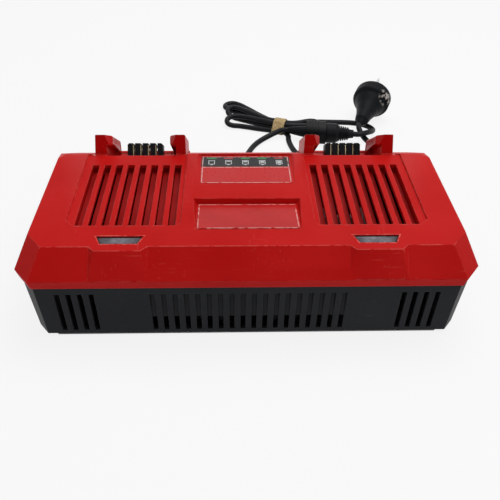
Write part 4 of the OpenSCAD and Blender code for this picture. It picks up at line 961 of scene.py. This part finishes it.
# %% [markdown]
# ## The face behind the flat top
# On the real charger the face that carries the bays falls in one straight slope from the flat top
# almost to the seam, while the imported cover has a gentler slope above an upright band. Only that
# face differs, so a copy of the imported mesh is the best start: its doubles are merged, and each
# point of the outer face that stands above the steeper slope is let down onto it. The inside of the
# wall follows at the wall's thickness, and the rim is drawn in over the seam. The cheeks of the two
# bay trays lie flush with the cover, so they are let down in the same way, and the rails stay.

# %% Helpers for the straight slope
FLAT_TOP, FLAT_END, OLD_FALL, NEW_FALL, SEAM = 0.0795, 0.046, 0.39, 0.54, 0.0525
WALL_DROP, CHEEK_DEPTH, HAIR, WELD = 0.0024, 0.0016, 0.0001, 0.000002
DRAW_START, DRAW_TURN, DRAW_SHARE, TURN_SHARE = 0.088, 0.094, 0.82, 0.3
UP_SHARE, SHARP_ANGLE = 0.05, 0.5


def slope_height(y, fall=NEW_FALL):
    return FLAT_TOP - fall * (y - FLAT_END)


def drawn_in(y):
    before_turn = min(y, DRAW_TURN) - DRAW_START
    if before_turn <= 0:
        return y
    return DRAW_START + before_turn * DRAW_SHARE + max(y - DRAW_TURN, 0) * TURN_SHARE


def reshaped(name, node_name, let_down):
    form = bmesh.new()
    form.from_mesh(nodes[node_name].data)
    bmesh.ops.remove_doubles(form, verts=form.verts, dist=WELD)
    form.normal_update()
    facing_up = [point.normal.z > UP_SHARE for point in form.verts]
    for point, is_up in zip(form.verts, facing_up):
        if point.co.y > FLAT_END:
            point.co = let_down(point.co.copy(), is_up)
    form.normal_update()
    for edge in form.edges:
        edge.smooth = len(edge.link_faces) == 2 and edge.calc_face_angle() < SHARP_ANGLE
    for face in form.faces:
        face.smooth = True
    mesh = bpy.data.meshes.new(name)
    form.to_mesh(mesh)
    form.free()
    piece = placed(name, mesh)
    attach(piece, "root")
    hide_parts(node_name)
    print(name, "has", len(mesh.polygons), "faces")
    return piece


# %% Cover and bay trays with the straight slope
def cover_point(place, is_up):
    place.y = drawn_in(place.y)
    if place.z > SEAM + HAIR:
        limit = slope_height(place.y) - (0 if is_up else WALL_DROP)
        place.z = max(min(place.z, limit), SEAM + HAIR)
    return place


def tray_point(place, is_up):
    below_cheek = slope_height(place.y, OLD_FALL) - place.z
    place.y = drawn_in(place.y)
    if is_up and -HAIR < below_cheek < CHEEK_DEPTH:
        place.z = slope_height(place.y) - below_cheek
    return place


dress(reshaped("cover_moulding", "top_cover", cover_point), "red_cover")
for hand in ("left", "right"):
    dress(reshaped("bay_cradle_" + hand, "bay_tray_" + hand, tray_point), "red_rail")

# %% [markdown]
# Both leads take the jacket finish and hang from the root, and the imported leads that they stand
# for are hidden.
# The pieces on a lead move with it.

for lead in (charger_cord, plug_cord):
    dress(lead, "lead_jacket")
    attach(lead, "root")
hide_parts("charger_lead")
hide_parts("turn_lead", "plug_lead", "lead_hank")
round(run_of(charger_cord), 4)
round(run_of(plug_cord), 4)
